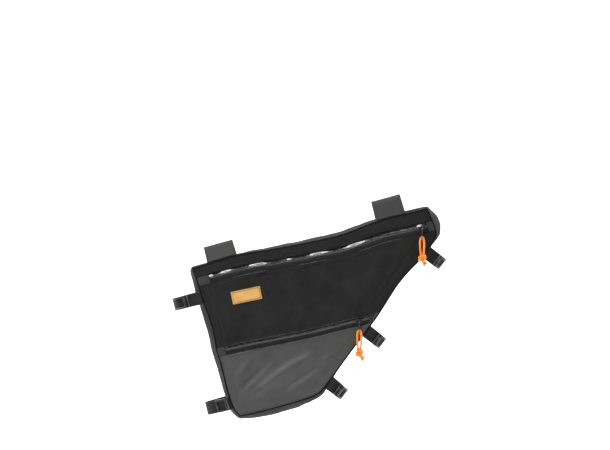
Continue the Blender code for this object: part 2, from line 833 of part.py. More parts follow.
panel("near_panel_top", TOP_LEVELS, "fabric_black", -1)
panel("near_panel_main", MAIN_LEVELS, "fabric_black", -1)
panel("near_panel_pocket", POCKET_LEVELS, "fabric_grey", -1, folded=True)
panel("far_panel", ALL_LEVELS, "fabric_black", 1)
gusset()
piping("near_piping", -1)
piping("far_piping", 1)
label()

for prefix, zip_level, slider_share, loop_share, rear_tab, front_tab in ZIPS:
    edges = zip_edges(zip_level)
    route = CORD_ROUTES[prefix + "_pull_cord"]
    zip_tape(prefix + "_zip_tape", edges)
    zip_tab(prefix + "_zip_tab_rear", edges, rear_tab * TAB_LENGTH, front=False)
    zip_tab(prefix + "_zip_tab_front", edges, front_tab * TAB_LENGTH, front=True)
    slider(prefix + "_slider", zip_level, slider_share)
    pull_loop(prefix + "_pull_loop", zip_level, slider_share, loop_share)
    pull_cord(prefix + "_pull_cord", route)
    pull_knot(prefix + "_pull_knot", route)

for strap_name, share in TOP_STRAPS.items():
    strap(
        strap_name,
        ROUND_SPACES["top"],
        share * SEAM_LENGTH + REAR_REACH,
        TOP_STRAP_WIDTH,
        TOP_STRAP_THICKNESS,
        "strap_grey",
    )

for strap_name, space_name, share, buckle_start, buckle_end, thick in STRAPS:
    round_space = ROUND_SPACES[space_name]
    at = share * round_space.length
    strap(strap_name, round_space, at, WEB_WIDTH, WEB_THICKNESS, "webbing")
    buckle(
        strap_name.replace("strap", "buckle"),
        round_space,
        at,
        buckle_start,
        buckle_end,
        thick * BUCKLE_THICKNESS,
    )
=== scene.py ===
"""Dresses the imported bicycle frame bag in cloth, zips, webbing and cord for its picture.

The bag's own frame has X along the axis of the top straps, Z square to it and Y away from
the near side. BagShape.world tips that frame up into the row's frame. Metres throughout.
"""

import logging
import math
from collections.abc import Callable
from dataclasses import dataclass, field
from enum import Enum
from functools import cached_property

import bmesh
import bpy
import numpy as np
from mathutils import Matrix


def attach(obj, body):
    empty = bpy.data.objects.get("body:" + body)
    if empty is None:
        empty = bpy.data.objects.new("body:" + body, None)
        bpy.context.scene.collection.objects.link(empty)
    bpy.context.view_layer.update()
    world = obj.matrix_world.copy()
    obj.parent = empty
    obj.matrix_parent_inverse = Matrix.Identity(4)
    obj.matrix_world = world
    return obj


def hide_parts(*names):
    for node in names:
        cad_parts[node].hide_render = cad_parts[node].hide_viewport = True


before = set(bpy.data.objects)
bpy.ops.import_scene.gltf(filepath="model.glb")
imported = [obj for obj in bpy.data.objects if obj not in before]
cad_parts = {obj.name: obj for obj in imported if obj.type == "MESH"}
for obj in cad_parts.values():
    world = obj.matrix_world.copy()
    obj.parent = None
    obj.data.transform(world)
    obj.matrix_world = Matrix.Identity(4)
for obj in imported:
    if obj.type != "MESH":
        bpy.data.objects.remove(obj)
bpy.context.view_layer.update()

LOG = logging.getLogger("frame_bag")

Array = np.ndarray
Colour = tuple[float, float, float]
Vector = tuple[float, float, float]
Table = tuple[tuple[float, ...], ...]
# The shortest and longest wave of a ripple, and its height
Ripple = tuple[float, float, float]

# Rear and front ends of the near seam: along and bulge are shares of the seam's length and
# of the gusset's fullest bulge at each share of the seam's depth.
REAR_EDGE: Table = (
    # below, along, bulge
    (0.000, 0.001, 0.60),
    (0.065, 0.004, 0.75),
    (0.123, 0.006, 0.85),
    (0.237, 0.009, 0.90),
    (0.349, 0.015, 0.95),
    (0.468, 0.014, 0.85),
    (0.540, 0.009, 0.75),
    (0.668, 0.010, 0.70),
    (0.817, 0.007, 0.55),
    (0.888, 0.009, 0.55),
    (0.951, 0.015, 0.65),
    (1.000, 0.029, 0.45),
)
FRONT_EDGE: Table = (
    # below, along, bulge
    (0.022, 0.990, 0.35),
    (0.095, 0.996, 1.00),
    (0.171, 1.000, 0.95),
    (0.209, 0.995, 0.75),
    (0.261, 0.960, 0.35),
    (0.336, 0.898, 0.15),
    (0.395, 0.836, 0.10),
    (0.456, 0.784, 0.10),
    (0.525, 0.736, 0.10),
    (0.595, 0.688, 0.10),
    (0.709, 0.598, 0.10),
    (0.786, 0.534, 0.10),
    (0.856, 0.479, 0.15),
    (0.918, 0.431, 0.30),
    (0.965, 0.393, 0.60),
)
TOP_EDGE: Table = (
    # across, lift as a share of the top's lift, bulge
    (0.000, 0.00, 0.35),
    (0.070, 0.20, 0.25),
    (0.190, 0.48, 0.28),
    (0.340, -0.40, 0.38),
    (0.470, -1.00, 0.46),
    (0.630, -1.35, 0.46),
    (0.790, -0.10, 0.48),
    (0.910, -0.15, 0.44),
    (1.000, -0.05, 0.35),
)
BOTTOM_EDGE: Table = (
    # across, lift as a share of the bottom's sag, bulge
    (0.000, 0.00, 0.45),
    (0.190, -0.42, 0.80),
    (0.540, -0.85, 0.90),
    (0.840, -1.00, 0.90),
    (0.940, -0.62, 0.80),
    (1.000, 0.00, 0.60),
)
# Where the zips' middles start on the rear edge, as shares of the seam's depth
UPPER_ZIP_LEVEL = 0.094
LOWER_ZIP_LEVEL = 0.566
# Where a level on the rear edge meets the front edge, both as shares of the seam's depth
LEVELS: Table = (
    # rear, front
    (0.000, 0.022),
    (UPPER_ZIP_LEVEL, 0.142),
    (LOWER_ZIP_LEVEL, 0.614),
    (1.000, 0.965),
)

# Folds of a side panel: middle, reach and spread as shares of the seam's length, height in mm
POCKET_FOLDS: Table = (
    # along, below, rise in degrees, reach, spread, height
    (0.100, 0.700, 42.0, 0.070, 0.016, 4.00),
    (0.140, 0.760, 32.0, 0.090, 0.013, -4.80),
    (0.190, 0.830, 24.0, 0.100, 0.017, 4.20),
    (0.330, 0.760, 24.0, 0.120, 0.022, 4.20),
    (0.300, 0.865, 20.0, 0.100, 0.016, -3.80),
    (0.450, 0.690, 14.0, 0.070, 0.015, -3.60),
    (0.440, 0.790, 10.0, 0.060, 0.015, 3.20),
    (0.550, 0.665, 36.0, 0.050, 0.013, 3.00),
)
MAIN_FOLDS: Table = (
    # along, below, rise in degrees, reach, spread, height
    (0.095, 0.330, 65.0, 0.090, 0.018, 1.80),
    (0.150, 0.430, 55.0, 0.100, 0.022, -2.00),
    (0.210, 0.500, 40.0, 0.110, 0.024, 1.80),
    (0.400, 0.430, 26.0, 0.140, 0.034, 2.20),
    (0.560, 0.370, 30.0, 0.130, 0.034, -2.60),
    (0.680, 0.420, 50.0, 0.100, 0.026, 2.20),
    (0.780, 0.300, 70.0, 0.090, 0.022, -1.60),
    (0.880, 0.230, 60.0, 0.070, 0.020, 1.40),
)
FAR_FOLDS: Table = (
    # along, below, rise in degrees, reach, spread, height
    (0.160, 0.300, 50.0, 0.140, 0.030, 1.00),
    (0.420, 0.400, 20.0, 0.200, 0.035, -0.90),
    (0.250, 0.700, 34.0, 0.150, 0.030, 1.10),
    (0.700, 0.250, 36.0, 0.140, 0.030, 0.90),
)

# Waves of the glossy film above each zip's slit: middle and reach as shares across, height in mm
UPPER_WAVES: Table = (
    (0.059, 0.010, 1.3), (0.123, 0.028, 1.1), (0.260, 0.036, 1.4), (0.384, 0.024, 0.5),
    (0.508, 0.036, 1.4), (0.666, 0.042, 1.5), (0.872, 0.040, 0.4), (0.949, 0.017, 1.3),
)
LOWER_WAVES: Table = ((0.30, 0.05, 0.3), (0.62, 0.05, 0.45), (0.84, 0.04, 0.5))
# Puckered lines of film along the hems: 1 below or -1 above the slit, start, end, size
UPPER_PUCKERS: Table = (
    (1, 0.145, 0.205, 0.7), (1, 0.200, 0.290, 1.4), (1, 0.420, 0.540, 1.4),
    (1, 0.670, 0.860, 0.8),
)
LOWER_PUCKERS: Table = ((-1, 0.08, 0.86, 1.0), (1, 0.04, 0.88, 0.7))

# Round spaces that the straps close round: the side that faces the bag is a line between two
# points, along and below as shares of the seam's length and depth.
SPACES: dict[str, tuple[float, tuple[float, float], tuple[float, float], int]] = {
    # name: diameter, start, end, side of the line it lies on
    "seat": (0.0355, (-0.003, -0.113), (-0.013, 0.952), -1),
    "down": (0.0384, (1.009, 0.174), (0.307, 1.009), 1),
}
TOP_SPACE_DIAMETER = 0.0318

# A pull's knot: height, tilt and half width of its wraps, and points of its strands from its
# middle, two that end in cut tails and one that crosses
KNOT_WRAPS: Table = ((0.0031, 0.30, 0.0052), (-0.0008, 0.42, 0.0056))
KNOT_STRANDS: tuple[Table, ...] = (
    ((-0.0024, 0.0005, 0.0095), (-0.0022, 0.0, 0.004), (-0.0005, 0.0004, -0.001),
     (0.0014, 0.0, -0.0050), (0.0030, -0.0004, -0.0085), (0.0044, -0.0008, -0.0120)),
    ((0.0026, 0.0005, 0.0095), (0.0026, 0.0006, 0.004), (0.0022, 0.0010, -0.001),
     (0.0036, 0.0004, -0.0040), (0.0058, -0.0004, -0.0066), (0.0072, -0.0006, -0.0086)),
    ((-0.0052, -0.0022, 0.0010), (-0.0030, -0.0046, -0.0024), (0.0010, -0.0048, -0.0052),
     (0.0042, -0.0026, -0.0062), (0.0050, 0.0016, -0.0048)),
)

# Out of the bag on its near side
NEAR_OUT = np.array((0.0, -1.0, 0.0))

# Routes of the two cord pulls from knot to knot, in the row's frame, as in the part's source
CORD_ROUTES: dict[str, Table] = {
    "upper": (
        (0.2052, -0.0410, -0.0400), (0.2043, -0.0408, -0.0330), (0.2039, -0.0402, -0.0260),
        (0.2041, -0.0395, -0.0192), (0.2052, -0.0390, -0.0143), (0.2079, -0.0390, -0.0114),
        (0.2107, -0.0390, -0.0143), (0.2118, -0.0395, -0.0192), (0.2121, -0.0402, -0.0260),
        (0.2117, -0.0408, -0.0330), (0.2108, -0.0410, -0.0400),
    ),
    "lower": (
        (0.0943, -0.0420, -0.2078), (0.0935, -0.0416, -0.2000), (0.0930, -0.0408, -0.1920),
        (0.0931, -0.0398, -0.1842), (0.0943, -0.0392, -0.1792), (0.0969, -0.0390, -0.1761),
        (0.0998, -0.0392, -0.1792), (0.1010, -0.0398, -0.1842), (0.1012, -0.0408, -0.1920),
        (0.1007, -0.0416, -0.2000), (0.0998, -0.0420, -0.2078),
    ),
}


class Side(Enum):
    """The two sides of the bag, with the sign of their y."""

    NEAR = -1
    FAR = 1


class Slot(Enum):
    """The record's material slots."""

    FABRIC_BLACK = "fabric_black"
    FABRIC_GREY = "fabric_grey"
    ZIP_TAPE = "zip_tape"
    PIPING = "piping"
    TAB_GREY = "tab_grey"
    STRAP_GREY = "strap_grey"
    WEBBING = "webbing"
    PLASTIC = "plastic"
    SLIDER_METAL = "slider_metal"
    CORD_ORANGE = "cord_orange"
    LABEL_AMBER = "label_amber"


class Weave(Enum):
    """How the threads of a cloth cross."""

    PLAIN = "plain"
    HERRINGBONE = "herringbone"
    BRAID = "braid"


def smooth(table: Table, at: Array, column: int) -> Array:
    """A column of a table on a smooth curve through its rows.

    Args:
        table: Rows with rising first columns.
        at: Values of the first column.
        column: The column that is read.

    Returns:
        The column's value at each place.
    """
    keys = np.array([row[0] for row in table])
    values = np.array([row[column] for row in table])
    order = np.arange(len(keys))
    before, after = np.maximum(order - 1, 0), np.minimum(order + 1, len(keys) - 1)
    slopes = (values[after] - values[before]) / (keys[after] - keys[before])
    i = np.clip(np.searchsorted(keys, at) - 1, 0, len(keys) - 2)
    span = keys[i + 1] - keys[i]
    t = np.clip((at - keys[i]) / span, 0.0, 1.0)
    return (
        values[i] * (2 * t**3 - 3 * t**2 + 1)
        + values[i + 1] * (3 * t**2 - 2 * t**3)
        + span * slopes[i] * (t**3 - 2 * t**2 + t)
        + span * slopes[i + 1] * (t**3 - t**2)
    )


def ease(start: float, end: float, at: Array) -> Array:
    """A soft step from 0 at start to 1 at end."""
    t = np.clip((at - start) / (end - start), 0.0, 1.0)
    return t * t * (3 - 2 * t)


def bell(away: Array, width: float) -> Array:
    """A bell curve, 1 at 0, that falls off over a width."""
    return np.exp(-((away / width) ** 2))


def unit(vectors: Array) -> Array:
    """The vectors at length 1."""
    return vectors / np.maximum(np.linalg.norm(vectors, axis=-1, keepdims=True), 1e-12)


def ripples(places: Array, seed: int, shortest: float, longest: float, height: float) -> Array:
    """Gentle unevenness of cloth, as a sum of waves in seeded directions.

    Args:
        places: Points in the plane, (..., 2).
        seed: Start of the random draws.
        shortest: The shortest wave, in metres.
        longest: The longest wave, in metres.
        height: Size of the unevenness, in metres.

    Returns:
        The height at each place.
    """
    draws = np.random.default_rng(seed)
    total = np.zeros(places.shape[:-1])
    count = 9
    for _ in range(count):
        wave = draws.uniform(shortest, longest)
        turn, phase = draws.uniform(0, math.pi), draws.uniform(0, 2 * math.pi)
        run = places[..., 0] * math.cos(turn) + places[..., 1] * math.sin(turn)
        total += np.cos(2 * math.pi * run / wave + phase)
    return height * total / math.sqrt(count)


def smooth_line(points: Array, count: int, closed: bool = False) -> Array:
    """A smooth line through points, with its places spread evenly along it.

    Args:
        points: The points that it passes through, (n, 3).
        count: Places on the line that is made.
        closed: Whether it runs back to its start.

    Returns:
        The line's places, (count, 3).
    """
    points = np.asarray(points, float)
    size = len(points)
    spans = size if closed else size - 1
    fine = []
    for i in range(spans):
        if closed:
            a, b, c, d = (points[(i + k) % size] for k in (-1, 0, 1, 2))
        else:
            a, b = points[max(i - 1, 0)], points[i]
            c, d = points[i + 1], points[min(i + 2, size - 1)]
        for t in np.arange(12) / 12:
            fine.append(
                0.5 * (2 * b + (c - a) * t + (2 * a - 5 * b + 4 * c - d) * t**2
                       + (3 * b - a - 3 * c + d) * t**3)
            )
    fine.append(points[0] if closed else points[-1])
    return spread(np.array(fine), count, closed)


def distances(points: Array) -> Array:
    """How far each point of a line lies along it."""
    steps = np.linalg.norm(np.diff(points, axis=0), axis=1)
    return np.concatenate(([0.0], np.cumsum(steps)))


def read_off(wanted: Array, along: Array, rows: Array) -> Array:
    """The rows of a table at wanted distances, between the distances that they stand at."""
    return np.stack([np.interp(wanted, along, column) for column in rows.T], axis=1)


def spread(points: Array, count: int, closed: bool = False) -> Array:
    """Places spread evenly along a line of points. A closed line's last point is its first."""
    along = distances(points)
    return read_off(np.linspace(0, along[-1], count, endpoint=not closed), along, points)


def turned(points: Array, angle: float) -> Array:
    """Points (x, y, z) turned by an angle from x towards z."""
    x, y, z = points[..., 0], points[..., 1], points[..., 2]
    cos, sin = math.cos(angle), math.sin(angle)
    return np.stack((x * cos - z * sin, y, x * sin + z * cos), axis=-1)


@dataclass(frozen=True)
class BagShape:
    """The bag's middle plane, its seam and its side faces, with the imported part's sizes."""

    seam_length: float = 0.433
    seam_depth: float = 0.274
    rear_reach: float = 0.4822 * seam_length
    top_drop: float = 0.0132
    seam_gap: float = 0.060
    tip_up: float = math.radians(15.2)
    top_lift: float = 0.006
    bottom_sag: float = 0.0086
    panel_bulge: float = 0.0045
    panel_shoulder: float = 0.035
    gusset_bulge: float = 0.013
    fabric: float = 0.0016
    piping: float = 0.003
    zip_opening: float = 0.0150
    clearance: float = 0.0003
    corner_smoothing: int = 3

    def in_plane(self, along: Array | float, below: Array | float) -> Array:
        """Places (x, z) on the middle plane from shares of the seam's length and depth."""
        along, below = np.broadcast_arrays(np.asarray(along, float), np.asarray(below, float))
        x = along * self.seam_length - self.rear_reach
        return np.stack((x, -self.top_drop - below * self.seam_depth), axis=-1)

    def rear_end(self, level: Array) -> Array:
        """Where a level meets the rear edge."""
        return self.in_plane(smooth(REAR_EDGE, level, 1), level)

    def front_end(self, level: Array) -> Array:
        """Where a level meets the front edge."""
        below = np.interp(level, [row[0] for row in LEVELS], [row[1] for row in LEVELS])
        return self.in_plane(smooth(FRONT_EDGE, below, 1), below)

    def point(self, across: Array, level: Array) -> Array:
        """Places on a side, across from the rear end to the front end of a level."""
        across, level = np.broadcast_arrays(np.asarray(across, float), np.asarray(level, float))
        rear, front = self.rear_end(level), self.front_end(level)
        place = rear + (front - rear) * across[..., None]
        lift = (1 - level) ** 2 * self.top_lift * smooth(TOP_EDGE, across, 1)
        sag = level**3 * self.bottom_sag * smooth(BOTTOM_EDGE, across, 1)
        place[..., 1] += lift + sag
        return place

    @cached_property
    def seam(self) -> tuple[Array, Array, Array, Array]:
        """The seam's places, directions out of it, bulges and distances, all the way round."""
        across, level = np.linspace(0, 1, 201), np.linspace(0, 1, 161)[1:-1]
        below = np.interp(level, [row[0] for row in LEVELS], [row[1] for row in LEVELS])
        rings = (
            (self.point(across, 0.0), smooth(TOP_EDGE, across, 2)),
            (self.point(1.0, level), smooth(FRONT_EDGE, below, 2)),
            (self.point(across, 1.0)[::-1], smooth(BOTTOM_EDGE, across, 2)[::-1]),
            (self.point(0.0, level)[::-1], smooth(REAR_EDGE, level, 2)[::-1]),
        )
        places = np.concatenate([places for places, _ in rings])
        bulges = np.concatenate([bulges for _, bulges in rings])
        rows = np.column_stack((places, bulges))
        rows = np.concatenate((rows, rows[:1]))
        even = spread(rows, 620, closed=True)
        for _ in range(self.corner_smoothing):
            even = 0.25 * np.roll(even, 1, axis=0) + 0.5 * even + 0.25 * np.roll(even, -1, axis=0)
        step = np.roll(even[:, :2], -1, axis=0) - np.roll(even[:, :2], 1, axis=0)
        outward = unit(np.stack((-step[:, 1], step[:, 0]), axis=1))
        for _ in range(12):
            outward = np.roll(outward, 1, axis=0) + 2 * outward + np.roll(outward, -1, axis=0)
            outward = unit(outward)
        return even[:, :2], outward, even[:, 2], distances(even[:, :2])

    def seam_distance(self, places: Array) -> Array:
        """How far places in the plane lie from the seam."""
        starts = self.seam[0][::4]
        steps = np.roll(starts, -1, axis=0) - starts
        flat = places.reshape(-1, 2)
        best = np.full(len(flat), np.inf)
        for start, step in zip(starts, steps):
            share = np.clip((flat - start) @ step / (step @ step), 0.0, 1.0)
            away = flat - start - share[:, None] * step
            best = np.minimum(best, np.hypot(away[:, 0], away[:, 1]))
        return best.reshape(places.shape[:-1])

    def swell(self, places: Array) -> Array:
        """How far a side panel swells out at places in the plane."""
        return self.panel_bulge * (1 - np.exp(-self.seam_distance(places) / self.panel_shoulder))

    def face(self, places: Array, lift: Array | float = 0.0) -> Array:
        """How far a side panel's outer face stands from the middle plane."""
        return 0.5 * self.seam_gap + 0.5 * self.fabric + self.swell(places) + lift

    def world(self, points: Array) -> Array:
        """Points in the bag's frame, tipped up into the row's frame."""
        return turned(points, self.tip_up)


def grain_of(along: Array, across: Array, edge: Array) -> Array:
    """A form's grain: distances along and across the cloth, and nearness to an edge."""
    return np.stack(np.broadcast_arrays(along, across, edge), axis=-1)


def stand(places: Array, y: Array | float) -> Array:
    """Points (x, y, z) from places (x, z) in the plane and their y."""
    x, z, y = np.broadcast_arrays(places[..., 0], places[..., 1], y)
    return np.stack((x, y, z), axis=-1)


def folds(shape: BagShape, places: Array, table: Table) -> Array:
    """How far the folds of a table lift places in the plane.

    Args:
        shape: The bag's shape.
        places: Points in the plane, (..., 2).
        table: Rows of middle, rise, reach, spread and height.

    Returns:
        The lift in metres, fading out towards the seam.
    """
    total = np.zeros(places.shape[:-1])
    for along, below, rise, reach, spread_share, height in table:
        away = places - shape.in_plane(along, below)
        turn = math.radians(rise)
        run = away[..., 0] * math.cos(turn) + away[..., 1] * math.sin(turn)
        side = -away[..., 0] * math.sin(turn) + away[..., 1] * math.cos(turn)
        bend = (run / (reach * shape.seam_length)) ** 2
        total += 0.001 * height * np.exp(
            -bend - (side / (spread_share * shape.seam_length)) ** 2
        )
    fade = np.minimum(shape.seam_distance(places) / shape.panel_shoulder, 1.0)
    return total * fade


class Value:
    """A number that varies over a surface and takes part in Python expressions."""

    def __init__(self, shader: "Shader", socket: bpy.types.NodeSocket) -> None:
        """Wraps an output socket of the shader's tree."""
        self.shader = shader
        self.socket = socket

    def math(self, operation: str, *others: "Value | float") -> "Value":
        """The result of a Math node on this value and others."""
        return self.shader.math(operation, self, *others)

    def __add__(self, other: "Value | float") -> "Value":
        """This plus other."""
        return self.math("ADD", other)

    def __radd__(self, other: float) -> "Value":
        """Other plus this."""
        return self.shader.math("ADD", other, self)

    def __sub__(self, other: "Value | float") -> "Value":
        """This minus other."""
        return self.math("SUBTRACT", other)

    def __rsub__(self, other: float) -> "Value":
        """Other minus this."""
        return self.shader.math("SUBTRACT", other, self)

    def __mul__(self, other: "Value | float") -> "Value":
        """This times other."""
        return self.math("MULTIPLY", other)

    def __rmul__(self, other: float) -> "Value":
        """Other times this."""
        return self.shader.math("MULTIPLY", other, self)

    def __abs__(self) -> "Value":
        """This without its sign."""
        return self.math("ABSOLUTE")

    def wave(self, pitch: float) -> "Value":
        """A sine of this distance with the given pitch, in metres."""
        return (self * (2 * math.pi / pitch)).math("SINE")

    def step(self, low: float, high: float) -> "Value":
        """A soft step from 0 at low to 1 at high."""
        return self.shader.soft_step(self, low, high)


Socket = Value | bpy.types.NodeSocket | float | tuple[float, ...]


class Shader:
    """One material and its node tree."""

    def __init__(self, name: str) -> None:
        """Makes the material with a Principled surface."""
        self.material = bpy.data.materials.new(name)
        self.material.use_nodes = True
        self.tree = self.material.node_tree
        self.surface = self.tree.nodes["Principled BSDF"]

    def plug(self, socket: bpy.types.NodeSocket, value: Socket) -> None:
        """Links a value to an input socket, or sets the socket to plain numbers."""
        if isinstance(value, Value):
            value = value.socket
        if isinstance(value, bpy.types.NodeSocket):
            self.tree.links.new(value, socket)
        else:
            socket.default_value = value

    def node(
        self, kind: str, settings: dict[str, object], sockets: dict[int | str, Socket]
    ) -> bpy.types.Node:
        """Adds a node of any kind.

        Args:
            kind: The node's type.
            settings: Its settings, which are set first.
            sockets: Values or links of its input sockets, by name or number.

        Returns:
            The node.
        """
        made = self.tree.nodes.new(kind)
        for key, value in settings.items():
            setattr(made, key, value)
        for key, value in sockets.items():
            self.plug(made.inputs[key], value)
        return made

    def math(self, operation: str, *values: Value | float) -> Value:
        """The result of a Math node, whose sockets take the values in order."""
        made = self.node("ShaderNodeMath", {"operation": operation}, dict(enumerate(values)))
        return Value(self, made.outputs[0])

    def soft_step(self, value: Value, low: float, high: float) -> Value:
        """A soft step of a value from 0 at low to 1 at high."""
        made = self.node(
            "ShaderNodeMapRange",
            {"interpolation_type": "SMOOTHSTEP"},
            {"Value": value, "From Min": low, "From Max": high, "To Min": 0.0, "To Max": 1.0},
        )
        return Value(self, made.outputs[0])

    def grain(self) -> tuple[bpy.types.NodeSocket, Value, Value, Value]:
        """The cloth's own coordinates: the vector, along, across, and nearness to an edge."""
        vector = self.node("ShaderNodeAttribute", {"attribute_name": "grain"}, {})
        parts = self.node("ShaderNodeSeparateXYZ", {}, {0: vector.outputs["Vector"]})
        along, across, edge = (Value(self, parts.outputs[i]) for i in range(3))
        return vector.outputs["Vector"], along, across, edge

    def noise(self, vector: bpy.types.NodeSocket, scale: float, detail: float = 2.0) -> Value:
        """Cloudy noise from 0 to 1 over a vector in metres."""
        made = self.node(
            "ShaderNodeTexNoise",
            {"noise_dimensions": "3D"},
            {"Vector": vector, "Scale": scale, "Detail": detail, "Roughness": 0.55},
        )
        return Value(self, made.outputs[0])

    def stretched(self, vector: bpy.types.NodeSocket, scale: Vector) -> bpy.types.NodeSocket:
        """A vector stretched by a factor on each axis."""
        made = self.node(
            "ShaderNodeVectorMath", {"operation": "MULTIPLY"}, {0: vector, 1: scale}
        )
        return made.outputs[0]

    def mixed(self, share: Value, first: Socket, second: Socket) -> bpy.types.NodeSocket:
        """A colour that goes from the first to the second as the share goes from 0 to 1."""
        made = self.node(
            "ShaderNodeMix", {"data_type": "RGBA"}, {0: share, 6: first, 7: second}
        )
        return made.outputs[2]

    def bump(self, height: Value, distance: float) -> None:
        """Feeds the surface's Normal from a height; distance is what a height of 1 stands for."""
        made = self.node(
            "ShaderNodeBump", {}, {"Height": height, "Distance": distance, "Strength": 1.0}
        )
        self.plug(self.surface.inputs["Normal"], made.outputs[0])

    def feed(self, **sockets: Socket) -> None:
        """Sets or links the surface's sockets, with underscores for spaces in their names."""
        for key, value in sockets.items():
            self.plug(self.surface.inputs[key.replace("_", " ")], value)


def shade(colour: Colour, factor: float) -> tuple[float, ...]:
    """A colour times a factor, with alpha 1."""
    return (*(min(part * factor, 1.0) for part in colour), 1.0)


@dataclass(frozen=True)
class Finish:
    """What every finish has: its name, colour and roughness."""

    name: str
    colour: Colour
    roughness: float

    def material(self) -> bpy.types.Material:
        """The finish's material, made the first time it is asked for."""
        found = bpy.data.materials.get(self.name)
        if found:
            return found
        shader = Shader(self.name)
        self.dress(shader)
        return shader.material

    def dress(self, shader: Shader) -> None:
        """Feeds the shader's surface in the way of the finish."""
        raise NotImplementedError


@dataclass(frozen=True)
class Cloth(Finish):
    """A woven or braided textile, with mottling, and wear where its edges rub."""

    weave: Weave
    pitch: float
    relief: float
    mottle: float = 0.25
    worn: Colour = (0.12, 0.12, 0.125)
    wear: float = 0.3
    sheen: float = 0.0
    gloss: float = 0.3
    cloud_scale: float = 24.0
    speck_scale: float = 950.0
    rub_scale: float = 160.0

    def crossing(self, along: Value, across: Value) -> Value:
        """The height of the threads, about -1 to 1, from distances over the cloth."""
        if self.weave is Weave.PLAIN:
            return along.wave(self.pitch) * across.wave(self.pitch)
        if self.weave is Weave.BRAID:
            return (along + across).wave(self.pitch) * (along - across).wave(self.pitch)
        zigzag = abs((across * (1 / (4 * self.pitch))).math("FRACT") - 0.5) * (4 * self.pitch)
        return (along + zigzag).wave(self.pitch) + across.wave(self.pitch) * 0.4

    def dress(self, shader: Shader) -> None:
        """Feeds the surface with the weave, its mottling and its worn edges."""
        vector, along, across, edge = shader.grain()
        threads = self.crossing(along, across)
        cloud = shader.noise(vector, self.cloud_scale, 4.0)
        speck = shader.noise(vector, self.speck_scale)
        tone = cloud * 0.6 + speck * 0.4 + threads * 0.10
        low = shade(self.colour, 1 - self.mottle)
        high = shade(self.colour, 1 + self.mottle)
        colour = shader.mixed(tone.step(0.28, 0.72), low, high)
        rub = shader.noise(vector, self.rub_scale, 3.0)
        rubbed = (edge * rub).step(0.30, 0.75) * self.wear
        colour = shader.mixed(rubbed, colour, (*self.worn, 1.0))
        rough = cloud * 0.16 + speck * 0.08 + (self.roughness - 0.12) + rubbed * 0.1
        shader.feed(
            Base_Color=colour,
            Roughness=rough,
            Sheen_Weight=self.sheen,
            Sheen_Roughness=0.4,
            Specular_IOR_Level=self.gloss,
        )
        shader.bump(threads * 0.5 + speck * 0.6, self.relief)


@dataclass(frozen=True)
class Laminate(Finish):
    """The glossy film of a weatherproof zip tape, with fine creases across it."""

    crease: float
    gloss: float
    coat: float

    def dress(self, shader: Shader) -> None:
        """Feeds the surface with the film's gloss and creases."""
        vector, _, _, edge = shader.grain()
        cloud = shader.noise(vector, 60.0, 3.0)
        crease = shader.noise(shader.stretched(vector, (1.0, 0.35, 1.0)), 330.0, 3.0)
        scuff = shader.noise(vector, 700.0, 2.0).step(0.55, 0.8)
        colour = shader.mixed(cloud, shade(self.colour, 0.7), shade(self.colour, 1.6))
        shader.feed(
            Base_Color=colour,
            Roughness=cloud * 0.18 + scuff * 0.12 + edge * 0.1 + (self.roughness - 0.08),
            Specular_IOR_Level=self.gloss,
            Coat_Weight=self.coat,
            Coat_Roughness=0.1,
        )
        shader.bump(crease * 0.8 + cloud * 0.4, self.crease)


@dataclass(frozen=True)
class Hard(Finish):
    """Moulded plastic or cast metal, with fine grain and scratches."""

    metallic: float = 0.0
    grain: float = 0.00006
    worn: Colour = (0.20, 0.20, 0.21)

    def dress(self, shader: Shader) -> None:
        """Feeds the surface with grain, scratches and worn edges."""
        vector, _, _, edge = shader.grain()
        cloud = shader.noise(vector, 120.0, 3.0)
        fine = shader.noise(vector, 1500.0, 2.0)
        scratch = shader.noise(shader.stretched(vector, (0.2, 1.0, 1.0)), 1100.0, 2.0)
        marks = scratch.step(0.62, 0.75)
        rubbed = (edge * cloud).step(0.35, 0.7) * 0.35 + marks * 0.12
        colour = shader.mixed(cloud, shade(self.colour, 0.8), shade(self.colour, 1.25))
        shader.feed(
            Base_Color=shader.mixed(rubbed, colour, (*self.worn, 1.0)),
            Roughness=cloud * 0.12 + marks * 0.2 + (self.roughness - 0.06),
            Metallic=self.metallic,
        )
        shader.bump(fine - marks * 0.5, self.grain)


@dataclass(frozen=True)
class Patch(Finish):
    """The amber patch: coated cloth with a fine grain, darker at its cut edge."""

    pitch: float

    def dress(self, shader: Shader) -> None:
        """Feeds the surface with grain and the darker cut edge."""
        vector, along, across, edge = shader.grain()
        cloud = shader.noise(vector, 90.0, 4.0)
        fine = shader.noise(vector, 1400.0, 2.0)
        weave = along.wave(self.pitch) * across.wave(self.pitch)
        tone = (cloud * 0.7 + fine * 0.3).step(0.3, 0.7)
        colour = shader.mixed(tone, shade(self.colour, 0.86), shade(self.colour, 1.1))
        rim = edge.step(0.55, 1.0) * 0.75
        shader.feed(
            Base_Color=shader.mixed(rim, colour, shade(self.colour, 0.35)),
            Roughness=cloud * 0.2 + (self.roughness - 0.1),
        )
        shader.bump(fine * 0.6 + weave * 0.4, 0.0001)


